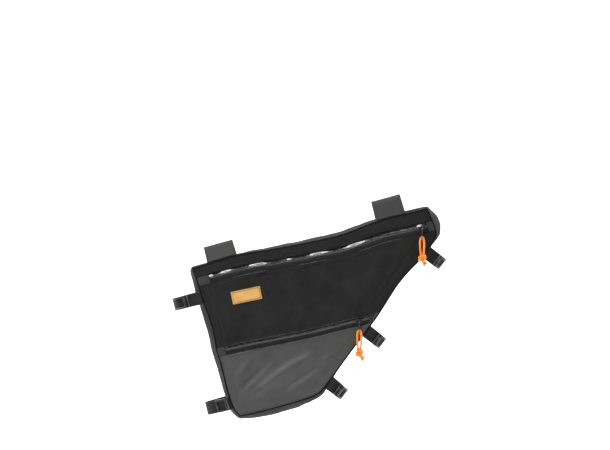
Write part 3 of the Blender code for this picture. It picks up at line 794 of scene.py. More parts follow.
BLACK_PACKCLOTH = Cloth(
    "black_packcloth", (0.0128, 0.0128, 0.0128), 0.78, Weave.PLAIN, 0.0009, 0.00018, 0.55,
    gloss=0.22,
)
# The gusset's black is the side panels' black painted lighter: painted light for the top light
# falling on its upward-facing strip
BLACK_GUSSET_PAINTED_LIGHTER = Cloth(
    "black_gusset_cloth_painted_lighter", (0.0170, 0.0170, 0.0168), 0.74, Weave.PLAIN, 0.0009, 0.00022, 0.4,
    gloss=0.22,
)
GREY_COATED = Cloth(
    "grey_coated_cloth", (0.050, 0.050, 0.050), 0.42, Weave.PLAIN, 0.0007, 0.00008, 0.22,
    gloss=0.50,
)
BLACK_PIPING = Cloth(
    "black_piping_cloth", (0.004, 0.004, 0.004), 0.60, Weave.PLAIN, 0.0007, 0.00010, 0.2,
    gloss=0.12, worn=(0.02, 0.02, 0.02),
)
GREY_TAB = Cloth(
    "grey_tab_cloth", (0.036, 0.036, 0.036), 0.6, Weave.PLAIN, 0.0008, 0.0001, gloss=0.25
)
GREY_STRAP = Cloth(
    "grey_strap_cloth", (0.031, 0.031, 0.030), 0.70, Weave.PLAIN, 0.0008, 0.00010, 0.14,
    gloss=0.25,
)
BLACK_WEBBING = Cloth(
    "black_webbing", (0.0095, 0.0095, 0.0098), 0.66, Weave.HERRINGBONE, 0.0016, 0.00035, 0.25,
    gloss=0.3,
)
BLACK_THREAD = Cloth(
    "black_thread", (0.016, 0.016, 0.017), 0.42, Weave.BRAID, 0.0006, 0.00008, 0.2
)
BROWN_THREAD = Cloth(
    "brown_thread", (0.060, 0.026, 0.010), 0.5, Weave.BRAID, 0.0006, 0.00008, 0.2, wear=0.0
)
ORANGE_BRAID = Cloth(
    "orange_braid", (1.0, 0.285, 0.030), 0.55, Weave.BRAID, 0.0021, 0.00022, 0.12,
    worn=(1.0, 0.5, 0.15), sheen=0.15,
)
ZIP_FILM = Laminate("glossy_zip_film", (0.004, 0.004, 0.0045), 0.13, 0.00040, 1.0, 1.0)
ZIP_FILM_MATT = Laminate("dull_zip_film", (0.007, 0.007, 0.007), 0.50, 0.00010, 0.25, 0.0)
ZIP_FILM_PUCKER = Laminate("puckered_zip_film", (0.012, 0.012, 0.012), 0.26, 0.00010, 1.0, 0.6)
BLACK_COIL = Hard("black_zip_coil", (0.008, 0.008, 0.009), 0.4)
DARK_METAL = Hard("dark_slider_metal", (0.035, 0.035, 0.038), 0.30, 0.85)
GREY_WIRE = Hard("grey_loop_wire", (0.16, 0.16, 0.17), 0.28, 0.9)
# Light grey lips at the buckles' ends: a painted highlight of the frames' edges
BUCKLE_LIP_HIGHLIGHT = Hard("buckle_lip_painted_highlight", (0.20, 0.20, 0.20), 0.30)
BLACK_PLASTIC = Hard("black_buckle_plastic", (0.014, 0.014, 0.015), 0.36)
AMBER_PATCH = Patch("amber_patch", (0.69, 0.385, 0.108), 0.5, 0.0009)


class Form:
    """The points, faces and grain of one piece, gathered before its mesh is made."""

    def __init__(self) -> None:
        """Starts empty."""
        self.points: list[Array] = []
        self.grain: list[Array] = []
        self.faces: list[Array] = []
        self.caps: list[list[int]] = []
        self.count = 0

    def grid(
        self,
        points: Array,
        grain: Array,
        outward: Array,
        rows_close: bool = False,
        columns_close: bool = False,
    ) -> int:
        """Adds a net of faces over rows and columns of points.

        Args:
            points: The points, (rows, columns, 3).
            grain: Along, across and edge nearness, the same shape.
            outward: Directions out of the surface at the points, which the faces turn to.
            rows_close: Whether the last row joins the first.
            columns_close: Whether the last column joins the first.

        Returns:
            The number of its first point.
        """
        rows, columns = points.shape[:2]
        start = self.count
        index = start + np.arange(rows * columns).reshape(rows, columns)
        if rows_close:
            index = np.concatenate((index, index[:1]))
        if columns_close:
            index = np.concatenate((index, index[:, :1]), axis=1)
        quads = np.stack((index[:-1, :-1], index[:-1, 1:], index[1:, 1:], index[1:, :-1]), axis=-1)
        along = points[:-1, 1:] - points[:-1, :-1]
        down = points[1:, :-1] - points[:-1, :-1]
        normal = np.cross(along, down)
        if np.sum(normal * np.broadcast_to(outward, points.shape)[:-1, :-1]) < 0:
            quads = quads[..., ::-1]
        self.points.append(points.reshape(-1, 3))
        self.grain.append(np.broadcast_to(grain, points.shape).reshape(-1, 3))
        self.faces.append(quads.reshape(-1, 4))
        self.count += rows * columns
        return start

    def tube(
        self, path: Array, radius: float | Array, sides: int = 12, closed: bool = False
    ) -> None:
        """Adds a round bar along a path, with rounded ends unless it is a ring.

        Args:
            path: Its centreline, (n, 3).
            radius: Its radius, or one for each place.
            sides: Points round it.
            closed: Whether it is a ring.
        """
        path = np.asarray(path, float)
        radii = np.broadcast_to(np.asarray(radius, float), len(path)).copy()
        if not closed:
            path, radii = rounded_ends(path, radii)
        if closed:
            tangent = unit(np.roll(path, -1, axis=0) - np.roll(path, 1, axis=0))
        else:
            tangent = unit(np.gradient(path, axis=0))
        first = np.cross(tangent[0], (0.31, 0.52, 0.79))
        normals = [first / np.linalg.norm(first)]
        for direction in tangent[1:]:
            turned = normals[-1] - direction * (normals[-1] @ direction)
            normals.append(turned / np.linalg.norm(turned))
        normal = np.array(normals)
        side = np.cross(tangent, normal)
        angle = np.linspace(0, 2 * math.pi, sides, endpoint=False)
        if closed:
            angle = angle[None, :] - closing_twist(tangent, normal, side) * np.linspace(
                0, 1, len(path), endpoint=False
            )[:, None]
        else:
            angle = np.broadcast_to(angle, (len(path), sides))
        out = (
            np.cos(angle)[..., None] * normal[:, None] + np.sin(angle)[..., None] * side[:, None]
        )
        rings = path[:, None] + out * radii[:, None, None]
        grain = np.zeros(rings.shape)
        grain[..., 0] = distances(path)[:, None]
        grain[..., 1] = angle * float(np.max(radii))
        start = self.grid(rings, grain, out, rows_close=closed, columns_close=True)
        if not closed:
            end = start + (len(path) - 1) * sides
            turned = np.cross(rings[0, 1] - rings[0, 0], rings[0, 2] - rings[0, 1]) @ tangent[0]
            front = list(range(start, start + sides))
            back = list(range(end, end + sides))
            self.caps.append(front[::-1] if turned > 0 else front)
            self.caps.append(back if turned > 0 else back[::-1])

    def stitches(
        self, path: Array, outward: Array, length: float = 0.0026, gap: float = 0.0009,
        thickness: float = 0.0008,
    ) -> None:
        """Adds a row of stitches half sunk in the cloth.

        Args:
            path: The line that they follow, (n, 3).
            outward: Direction out of the cloth at its places, (n, 3) or (3,).
            length: Of a stitch.
            gap: Between stitches.
            thickness: Of the thread.
        """
        outward = np.broadcast_to(np.asarray(outward, float), path.shape)
        along = distances(path)
        count = max(int(along[-1] / (length + gap)), 1)
        middles = (np.arange(count) + 0.5) * along[-1] / count
        spots = read_off(middles, along, path)
        up = unit(read_off(middles, along, outward))
        step = 5e-4
        run = unit(read_off(middles + step, along, path) - read_off(middles - step, along, path))
        side = unit(np.cross(run, up))
        ends = np.array((-0.5, -0.25, 0.25, 0.5)) * length
        widths = np.array((0.35, 1.0, 1.0, 0.35)) * 0.5 * thickness
        rises = np.array((-0.35, 0.15, 0.15, -0.35)) * thickness
        sides = 5
        angle = np.linspace(0, 2 * math.pi, sides, endpoint=False)
        ring = np.cos(angle)[:, None] * side[:, None, None]
        ring = ring + np.sin(angle)[:, None] * up[:, None, None]
        points = (
            spots[:, None, None]
            + ends[None, :, None, None] * run[:, None, None]
            + rises[None, :, None, None] * up[:, None, None]
            + widths[None, :, None, None] * ring
        )
        for stitch, out, middle in zip(points, np.broadcast_to(ring, points.shape), middles):
            grain = np.zeros(stitch.shape)
            grain[..., 0] = middle + ends[:, None]
            grain[..., 1] = angle * 0.5 * thickness
            start = self.grid(stitch, grain, out, columns_close=True)
            last = start + (len(ends) - 1) * sides
            self.caps.append(list(range(start, start + sides)))
            self.caps.append(list(range(last, last + sides))[::-1])

    def block(
        self, size: Vector, centre: Vector, bevel: float, place: Callable[[Array], Array],
        slices: int = 1,
    ) -> None:
        """Adds a block with rounded edges, bent into place.

        Args:
            size: Its sides.
            centre: Its middle, in the same coordinates.
            bevel: Radius of its edges.
            place: Takes its points to where they lie in the row's frame.
            slices: Parts that its first side is cut into, so that it can bend.
        """
        built = bmesh.new()
        bmesh.ops.create_cube(built, size=1.0, matrix=Matrix.Diagonal((*size, 1)))
        bmesh.ops.bevel(
            built, geom=built.edges[:], offset=bevel, segments=3, profile=0.6, affect="EDGES"
        )
        for share in np.linspace(-0.5, 0.5, slices + 1)[1:-1]:
            geometry = built.verts[:] + built.edges[:] + built.faces[:]
            bmesh.ops.bisect_plane(
                built, geom=geometry, plane_co=(share * size[0], 0, 0), plane_no=(1, 0, 0)
            )
        points = np.array([vert.co for vert in built.verts])
        reach = np.abs(points) / (0.5 * np.array(size))
        edge = np.sort(reach, axis=1)[:, 1]
        grain = points + np.array(centre)
        grain[:, 2] = edge
        placed = place(points + np.array(centre))
        flip = mirrored(place, np.array(centre))
        for face in built.faces:
            order = [self.count + vert.index for vert in face.verts]
            self.caps.append(order[::-1] if flip else order)
        built.free()
        self.points.append(placed)
        self.grain.append(grain)
        self.count += len(points)

    def mesh(self, name: str) -> bpy.types.Mesh:
        """The mesh of everything that was added, with its grain on the points."""
        points = np.concatenate(self.points)
        faces = [face for block in self.faces for face in block.tolist()] + self.caps
        data = bpy.data.meshes.new(name)
        data.from_pydata(points.tolist(), [], faces)
        stored = data.attributes.new("grain", "FLOAT_VECTOR", "POINT")
        stored.data.foreach_set("vector", np.concatenate(self.grain).ravel().astype(np.float32))
        data.shade_smooth()
        return data


def mirrored(place: Callable[[Array], Array], centre: Array) -> bool:
    """Whether a placing turns shapes into their mirror images."""
    small = 1e-4
    corners = place(centre + small * np.vstack((np.zeros(3), np.eye(3))))
    sides = corners[1:] - corners[0]
    return bool(np.linalg.det(sides) < 0)


def rounded_ends(path: Array, radii: Array) -> tuple[Array, Array]:
    """A path and its radii with rings added that round off both ends."""
    shares = np.array((0.985, 0.85, 0.55, 0.0))
    closing = np.sqrt(1 - shares**2)
    first, last = unit(path[0] - path[1]), unit(path[-1] - path[-2])
    start = path[0] + first * (shares * radii[0])[:, None]
    end = path[-1] + last * (shares[::-1] * radii[-1])[:, None]
    return (
        np.concatenate((start[:-1], path, end[1:])),
        np.concatenate((closing[:-1] * radii[0], radii, closing[::-1][1:] * radii[-1])),
    )


def closing_twist(tangent: Array, normal: Array, side: Array) -> float:
    """The angle by which a ring's carried normals miss their start."""
    last = normal[-1] - tangent[0] * (normal[-1] @ tangent[0])
    return float(math.atan2(last @ side[0], last @ normal[0]))


def add_piece(
    form: Form,
    name: str,
    finish: Finish,
    stands_for: tuple[str, ...] = (),
    thickness: float = 0.0,
) -> bpy.types.Object:
    """Makes a piece of the scene from a form, rides it on the bag and reports it.

    Args:
        form: What it is made of.
        name: The piece's name.
        finish: Its finish.
        stands_for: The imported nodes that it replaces.
        thickness: Of the cloth behind its faces, or 0 for a closed form.

    Returns:
        The piece.
    """
    data = form.mesh(name)
    made = bpy.data.objects.new(name, data)
    bpy.context.scene.collection.objects.link(made)
    data.materials.append(finish.material())
    if thickness:
        solidify = made.modifiers.new("thickness", "SOLIDIFY")
        solidify.thickness = thickness
        solidify.offset = -1
    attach(made, "root")
    if stands_for:
        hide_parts(*stands_for)
    LOG.info("%s: %d faces, %s", name, len(data.polygons), finish.name)
    return made


# Soft boxes: name, place, the point that it faces, width and height, power in watts
SOFT_BOXES: tuple[tuple[str, Vector, Vector, tuple[float, float], float], ...] = (
    ("box_above", (-0.9, -1.0, 2.3), (0, 0, -0.1), (1.6, 0.8), 52.0),
    ("box_key", (-0.5, -2.5, 1.55), (0, 0, -0.1), (1.9, 0.7), 40.0),
    ("box_left", (-2.4, -1.5, 0.9), (0, 0, -0.1), (0.7, 1.6), 11.0),
    ("box_right", (2.8, -1.9, 0.4), (0, 0, -0.1), (0.7, 1.6), 2.0),
    ("wall_left", (-2.6, 0.9, 1.6), (0.2, 5.0, 0.4), (1.6, 1.6), 330.0),
    ("wall_right", (2.6, 0.9, 1.6), (-0.2, 5.0, 0.4), (1.6, 1.6), 330.0),
)


@dataclass
class Studio:
    """The camera, the pale floor and wall, and the soft lights."""

    metres_per_pixel: float = 0.00177
    origin_pixel: tuple[float, float] = (304.3, 230.55)
    frame_pixels: tuple[int, int] = (610, 450)
    distance: float = 4.0
    seam_y: float = -0.030
    floor_z: float = -0.75
    bend_y: float = 3.0
    bend_radius: float = 2.0
    air_strength: float = 0.05

    def camera(self) -> None:
        """Puts the camera where the photograph's frame falls on the near seam."""
        data = bpy.data.cameras.new("camera")
        width = self.frame_pixels[0] * self.metres_per_pixel
        data.sensor_width = 36.0
        data.lens = data.sensor_width * self.distance / width
        made = bpy.data.objects.new("camera", data)
        x = (0.5 * self.frame_pixels[0] - self.origin_pixel[0]) * self.metres_per_pixel
        z = (self.origin_pixel[1] - 0.5 * self.frame_pixels[1]) * self.metres_per_pixel
        made.location = (x, self.seam_y - self.distance, z)
        made.rotation_euler = (math.radians(90), 0, 0)
        bpy.context.scene.collection.objects.link(made)
        bpy.context.scene.camera = made

    def floor(self) -> None:
        """Makes the floor and the wall that curves up behind the bag."""
        profile = [(-9.0, self.floor_z), (self.bend_y, self.floor_z)]
        for step in range(13):
            angle = 0.5 * math.pi * step / 12
            back = self.bend_y + self.bend_radius * math.sin(angle)
            profile.append((back, self.floor_z + self.bend_radius * (1 - math.cos(angle))))
        profile.append((self.bend_y + self.bend_radius, 9.0))
        rows = np.array([[(x, y, z) for x in (-12.0, 12.0)] for y, z in profile])
        form = Form()
        form.grid(rows, np.zeros(rows.shape), np.array((0.0, -0.5, 0.5)))
        made = bpy.data.objects.new("studio_floor", form.mesh("studio_floor"))
        shader = Shader("pale_studio_floor")
        place = shader.node("ShaderNodeTexCoord", {}, {}).outputs["Object"]
        cloud = shader.noise(place, 1.5, 2.0)
        shader.feed(
            Base_Color=shader.mixed(cloud, (0.86, 0.86, 0.86, 1), (0.90, 0.90, 0.90, 1)),
            Roughness=0.9,
        )
        made.data.materials.append(shader.material)
        bpy.context.scene.collection.objects.link(made)

    def area(
        self, name: str, place: Vector, aim: Vector, size: tuple[float, float], power: float
    ) -> None:
        """Adds a soft box.

        Args:
            name: Its name.
            place: Where it stands.
            aim: The point that it faces.
            size: Its width and height.
            power: Its power in watts.
        """
        data = bpy.data.lights.new(name, "AREA")
        data.shape, data.size, data.size_y, data.energy = "RECTANGLE", *size, power
        made = bpy.data.objects.new(name, data)
        made.location = place
        direction = np.array(aim) - np.array(place)
        flat = math.hypot(direction[0], direction[1])
        made.rotation_euler = (
            math.pi / 2 + math.atan2(direction[2], flat), 0,
            math.atan2(direction[1], direction[0]) - math.pi / 2,
        )
        bpy.context.scene.collection.objects.link(made)

    def lights(self) -> None:
        """Lights the bag from above and from both sides, and sets the pale surroundings."""
        for light in SOFT_BOXES:
            self.area(*light)
        world = bpy.context.scene.world or bpy.data.worlds.new("studio_air")
        bpy.context.scene.world = world
        world.use_nodes = True
        air = world.node_tree.nodes["Background"]
        air.inputs["Color"].default_value = (1.0, 1.0, 1.0, 1)
        air.inputs["Strength"].default_value = self.air_strength
        bpy.context.scene.view_settings.view_transform = "Standard"


@dataclass
class SidePanel:
    """One panel of a side: a cloth between two levels, with hems, puckers and folds.

    A hemmed edge is raised over hem_width, pulled into puckers and rolled in at its end.
    """

    shape: BagShape
    name: str
    side: Side
    top: float
    bottom: float
    finish: Finish
    slot: Slot
    fold_table: Table
    rows: int
    columns: int = 260
    seed: int = 1
    hemmed_top: bool = False
    hemmed_bottom: bool = False
    edge_trim: float = 0.0006
    hem_width: float = 0.0062
    hem_lift: float = 0.0006
    stitch_inset: float = 0.0032
    seam_dip: float = 0.0014
    seam_dip_width: float = 0.0012
    seam_calm: float = 0.02
    pucker: float = 0.0003
    pucker_wave: float = 0.0095
    pucker_reach: float = 0.007
    hem_step: float = 0.0015
    groove_depth: float = 0.0005
    groove_width: float = 0.0009
    hem_roll: float = 0.0007
    seam_stitch_inset: float = 0.0036
    edge_rub: float = 0.006
    billows: Ripple = (0.045, 0.12, 0.00028)
    crinkles: Ripple = (0.014, 0.035, 0.00009)
    wander: Ripple = (0.02, 0.06, 1.2)

    def lift(self, across: Array, level: Array, places: Array) -> Array:
        """How far the cloth stands out from the plain swell of the panel.

        Args:
            across: Shares across the bag; not used.
            level: Levels.
            places: The same places in the plane.

        Returns:
            The lift in metres.
        """
        total = folds(self.shape, places, self.fold_table)
        depth = self.shape.seam_depth
        if self.hemmed_top:
            total *= np.minimum((level - self.top) * depth / self.shape.panel_shoulder, 1.0) ** 2
        away_from_seam = self.shape.seam_distance(places)
        total -= self.seam_dip * np.exp(-away_from_seam / self.seam_dip_width)
        inside = ease(0.0, self.seam_calm, away_from_seam)
        total += inside * ripples(places, self.seed, *self.billows)
        total += inside * ripples(places, self.seed + 40, *self.crinkles)
        for hemmed, edge in ((self.hemmed_top, self.top), (self.hemmed_bottom, self.bottom)):
            if hemmed:
                away = np.abs(level - edge) * depth
                wander = ripples(places, self.seed + 7, *self.wander)
                pull = np.sin(2 * math.pi * places[..., 0] / self.pucker_wave + wander)
                total += self.pucker * pull * np.exp(-away / self.pucker_reach)
                step = ease(self.hem_width - self.hem_step, self.hem_width, away)
                total += self.hem_lift * (1 - step)
                total -= self.groove_depth * bell(away - self.stitch_inset, self.groove_width)
                total -= self.hem_roll * np.exp(-away / self.hem_roll)
        return total

    def surface(self, across: Array, level: Array) -> Array:
        """Points on the panel's outer face, in the bag's frame."""
        places = self.shape.point(across, level)
        y = self.side.value * self.shape.face(places, self.lift(across, level, places))
        return stand(places, y)

    def build(self) -> None:
        """Makes the panel."""
        trim = self.edge_trim / self.shape.seam_depth
        top = self.top + (0 if self.hemmed_top else trim)
        bottom = self.bottom - (0 if self.hemmed_bottom else trim)
        end = self.edge_trim / self.shape.seam_length
        across, level = np.meshgrid(
            np.linspace(end, 1 - end, self.columns), np.linspace(top, bottom, self.rows)
        )
        points = self.surface(across, level)
        places = points[..., (0, 2)]
        near_seam = np.exp(-self.shape.seam_distance(places) / self.edge_rub)
        grain = grain_of(places[..., 0], places[..., 1], near_seam)
        form = Form()
        form.grid(self.shape.world(points), grain, np.array((0.0, self.side.value, 0.0)))
        add_piece(
            form, self.name + "_cloth", self.finish, (self.name,), self.shape.fabric
        )

    def sew(self, form: Form) -> None:
        """Adds the panel's stitches: one row along each hem, and one inside the seam."""
        outward = np.array((0.0, self.side.value, 0.0))
        depth = self.shape.seam_depth
        corner = 0.004 / self.shape.seam_length
        across = np.linspace(corner, 1 - corner, 400)
        for hemmed, edge, sign in (
            (self.hemmed_top, self.top, 1), (self.hemmed_bottom, self.bottom, -1)
        ):
            inset = self.stitch_inset if hemmed else self.seam_stitch_inset
            row = edge + sign * inset / depth
            line = self.surface(across, np.full(across.shape, row))
            form.stitches(self.shape.world(line), outward)
        level = np.linspace(self.top + 0.005 / depth, self.bottom - 0.005 / depth, 160)
        for end in (0.0036 / self.shape.seam_length, 1 - 0.0042 / self.shape.seam_length):
            line = self.surface(np.full(level.shape, end), level)
            form.stitches(self.shape.world(line), outward)


@dataclass
class Space:
    """A round space along the bag's edge: its axis and the direction from it to the bag."""

    shape: BagShape
    diameter: float
    start: Array
    end: Array
    side: int

    @property
    def radius(self) -> float:
        """Half the diameter."""
        return 0.5 * self.diameter

    @cached_property
    def length(self) -> float:
        """From its start to its end."""
        return float(np.linalg.norm(self.end - self.start))

    @cached_property
    def along(self) -> Array:
        """The direction of its axis, in the plane."""
        return (self.end - self.start) / self.length

    @cached_property
    def to_bag(self) -> Array:
        """The direction from its axis to the bag, in the plane."""
        return np.array((-self.along[1], self.along[0])) * -self.side

    @cached_property
    def origin(self) -> Array:
        """The start of its axis."""
        return self.start - self.to_bag * self.radius

    def clear(self, places: Array, y: Array) -> Array:
        """Moves places towards the bag until the space is free there."""
        reach = self.radius + self.shape.clearance
        needed = np.sqrt(np.maximum(reach**2 - y**2, 0.0))
        short = np.where(
            np.abs(y) < reach, needed - (places - self.origin) @ self.to_bag, 0.0
        )
        return places + np.maximum(short, 0.0)[..., None] * self.to_bag

    def seam_at(self, station: float) -> float:
        """How far the seam lies from the axis, towards the bag, at a station along it."""
        places = self.shape.seam[0] - self.origin
        ends = np.roll(places, -1, axis=0)
        a, b = places @ self.along - station, ends @ self.along - station
        crossing = (a * b <= 0) & (a != b)
        share = a[crossing] / (a[crossing] - b[crossing])
        met = places[crossing] + (ends[crossing] - places[crossing]) * share[:, None]
        return float(np.min(met @ self.to_bag))

    def point(self, station: Array, towards: Array, y: Array) -> Array:
        """Points in the bag's frame from a station, a distance towards the bag and a y."""
        places = (
            self.origin
            + np.asarray(station)[..., None] * self.along
            + np.asarray(towards)[..., None] * self.to_bag
        )
        return stand(places, y)


def all_spaces(shape: BagShape) -> dict[str, Space]:
    """The seat, down and top spaces that the straps close round."""
    made = {
        name: Space(shape, diameter, shape.in_plane(*start), shape.in_plane(*end), side)
        for name, (diameter, start, end, side) in SPACES.items()
    }
    under = -0.5 * TOP_SPACE_DIAMETER
    made["top"] = Space(
        shape,
        TOP_SPACE_DIAMETER,
        np.array((-shape.rear_reach, under)),
        np.array((shape.seam_length - shape.rear_reach, under)),
        1,
    )
    return made


@dataclass
class Body:
    """The bag's cloth body: its side panels, the band between them and the corded seams."""

    shape: BagShape
    spaces: dict[str, Space]
    band_rows: int = 24
    hem_retreat: float = 0.0010
    band_inset: float = 0.0010
    band_creases: Ripple = (0.018, 0.06, 0.0006)
    band_billows: Ripple = (0.06, 0.16, 0.0008)
    crease_limit: float = 0.6

    def __post_init__(self) -> None:
        """Lays out the four panels between the zips."""
        half = (0.5 * self.shape.zip_opening + self.hem_retreat) / self.shape.seam_depth
        upper, lower = UPPER_ZIP_LEVEL, LOWER_ZIP_LEVEL
        black, slot = BLACK_PACKCLOTH, Slot.FABRIC_BLACK
        self.top_strip = SidePanel(
            self.shape, "near_panel_top", Side.NEAR, 0.0, upper - half, black, slot, (),
            18, seed=3, hemmed_bottom=True,
        )
        self.main = SidePanel(
            self.shape, "near_panel_main", Side.NEAR, upper + half, lower - half, black, slot,
            MAIN_FOLDS, 100, seed=11, hemmed_top=True, hemmed_bottom=True,
        )
        self.pocket = SidePanel(
            self.shape, "near_panel_pocket", Side.NEAR, lower + half, 1.0, GREY_COATED,
            Slot.FABRIC_GREY, POCKET_FOLDS, 90, seed=23, hemmed_top=True,
        )
        self.far = SidePanel(
            self.shape, "far_panel", Side.FAR, 0.0, 1.0, black, slot, FAR_FOLDS, 100,
            columns=170, seed=31,
        )

    def band(self) -> None:
        """Makes the gusset, with creases across it, pushed in where the round spaces lie."""
        places, outward, bulges, distance = self.shape.seam
        edge = 0.5 * self.shape.seam_gap - self.band_inset
        share = np.linspace(-1, 1, self.band_rows)
        y = edge * np.sin(0.5 * math.pi * share)
        rise = 1 - (y / edge) ** 2
        run = np.stack(np.broadcast_arrays(distance[None, :], y[:, None]), axis=-1)
        crease = ripples(run, 5, *self.band_creases) + ripples(run, 6, *self.band_billows)
        out = (
            0.5 * self.shape.fabric
            + self.shape.gusset_bulge * bulges[None, :] * rise[:, None]
            + np.minimum(rise, self.crease_limit)[:, None] * crease
        )
        moved = places[None] + outward[None] * out[..., None]
        deep = np.broadcast_to(y[:, None], out.shape)
        for space in self.spaces.values():
            moved = space.clear(moved, deep)
        points = stand(moved, deep)
        grain = grain_of(distance[None, :], y[:, None], (1 - rise[:, None]) ** 3)
        away = np.broadcast_to(stand(outward, 0.0)[None], points.shape)
        form = Form()
        form.grid(
            self.shape.world(points), grain, self.shape.world(away), columns_close=True
        )
        # The gusset's colour is painted lighter than the panels' to stand in for light falling on
        # it from above
        add_piece(
            form, "gusset_cloth", BLACK_GUSSET_PAINTED_LIGHTER, ("gusset",), self.shape.fabric
        )

    def cording(self, side: Side) -> None:
        """Makes one corded seam."""
        places = self.shape.seam[0]
        path = self.shape.world(stand(places, side.value * 0.5 * self.shape.seam_gap))
        form = Form()
        form.tube(path, 0.5 * self.shape.piping, 12, closed=True)
        name = "near_piping" if side is Side.NEAR else "far_piping"
        add_piece(form, name + "_cord", BLACK_PIPING, (name,))

    def build(self) -> None:
        """Makes the body's pieces and their stitches."""
        for panel in (self.top_strip, self.main, self.pocket, self.far):
            panel.build()
        self.band()
        for side in Side:
            self.cording(side)
        near = Form()
        for panel in (self.top_strip, self.main, self.pocket):
            panel.sew(near)
        add_piece(near, "near_panel_stitches", BLACK_THREAD)
        far = Form()
        self.far.sew(far)
        add_piece(far, "far_panel_stitches", BLACK_THREAD)


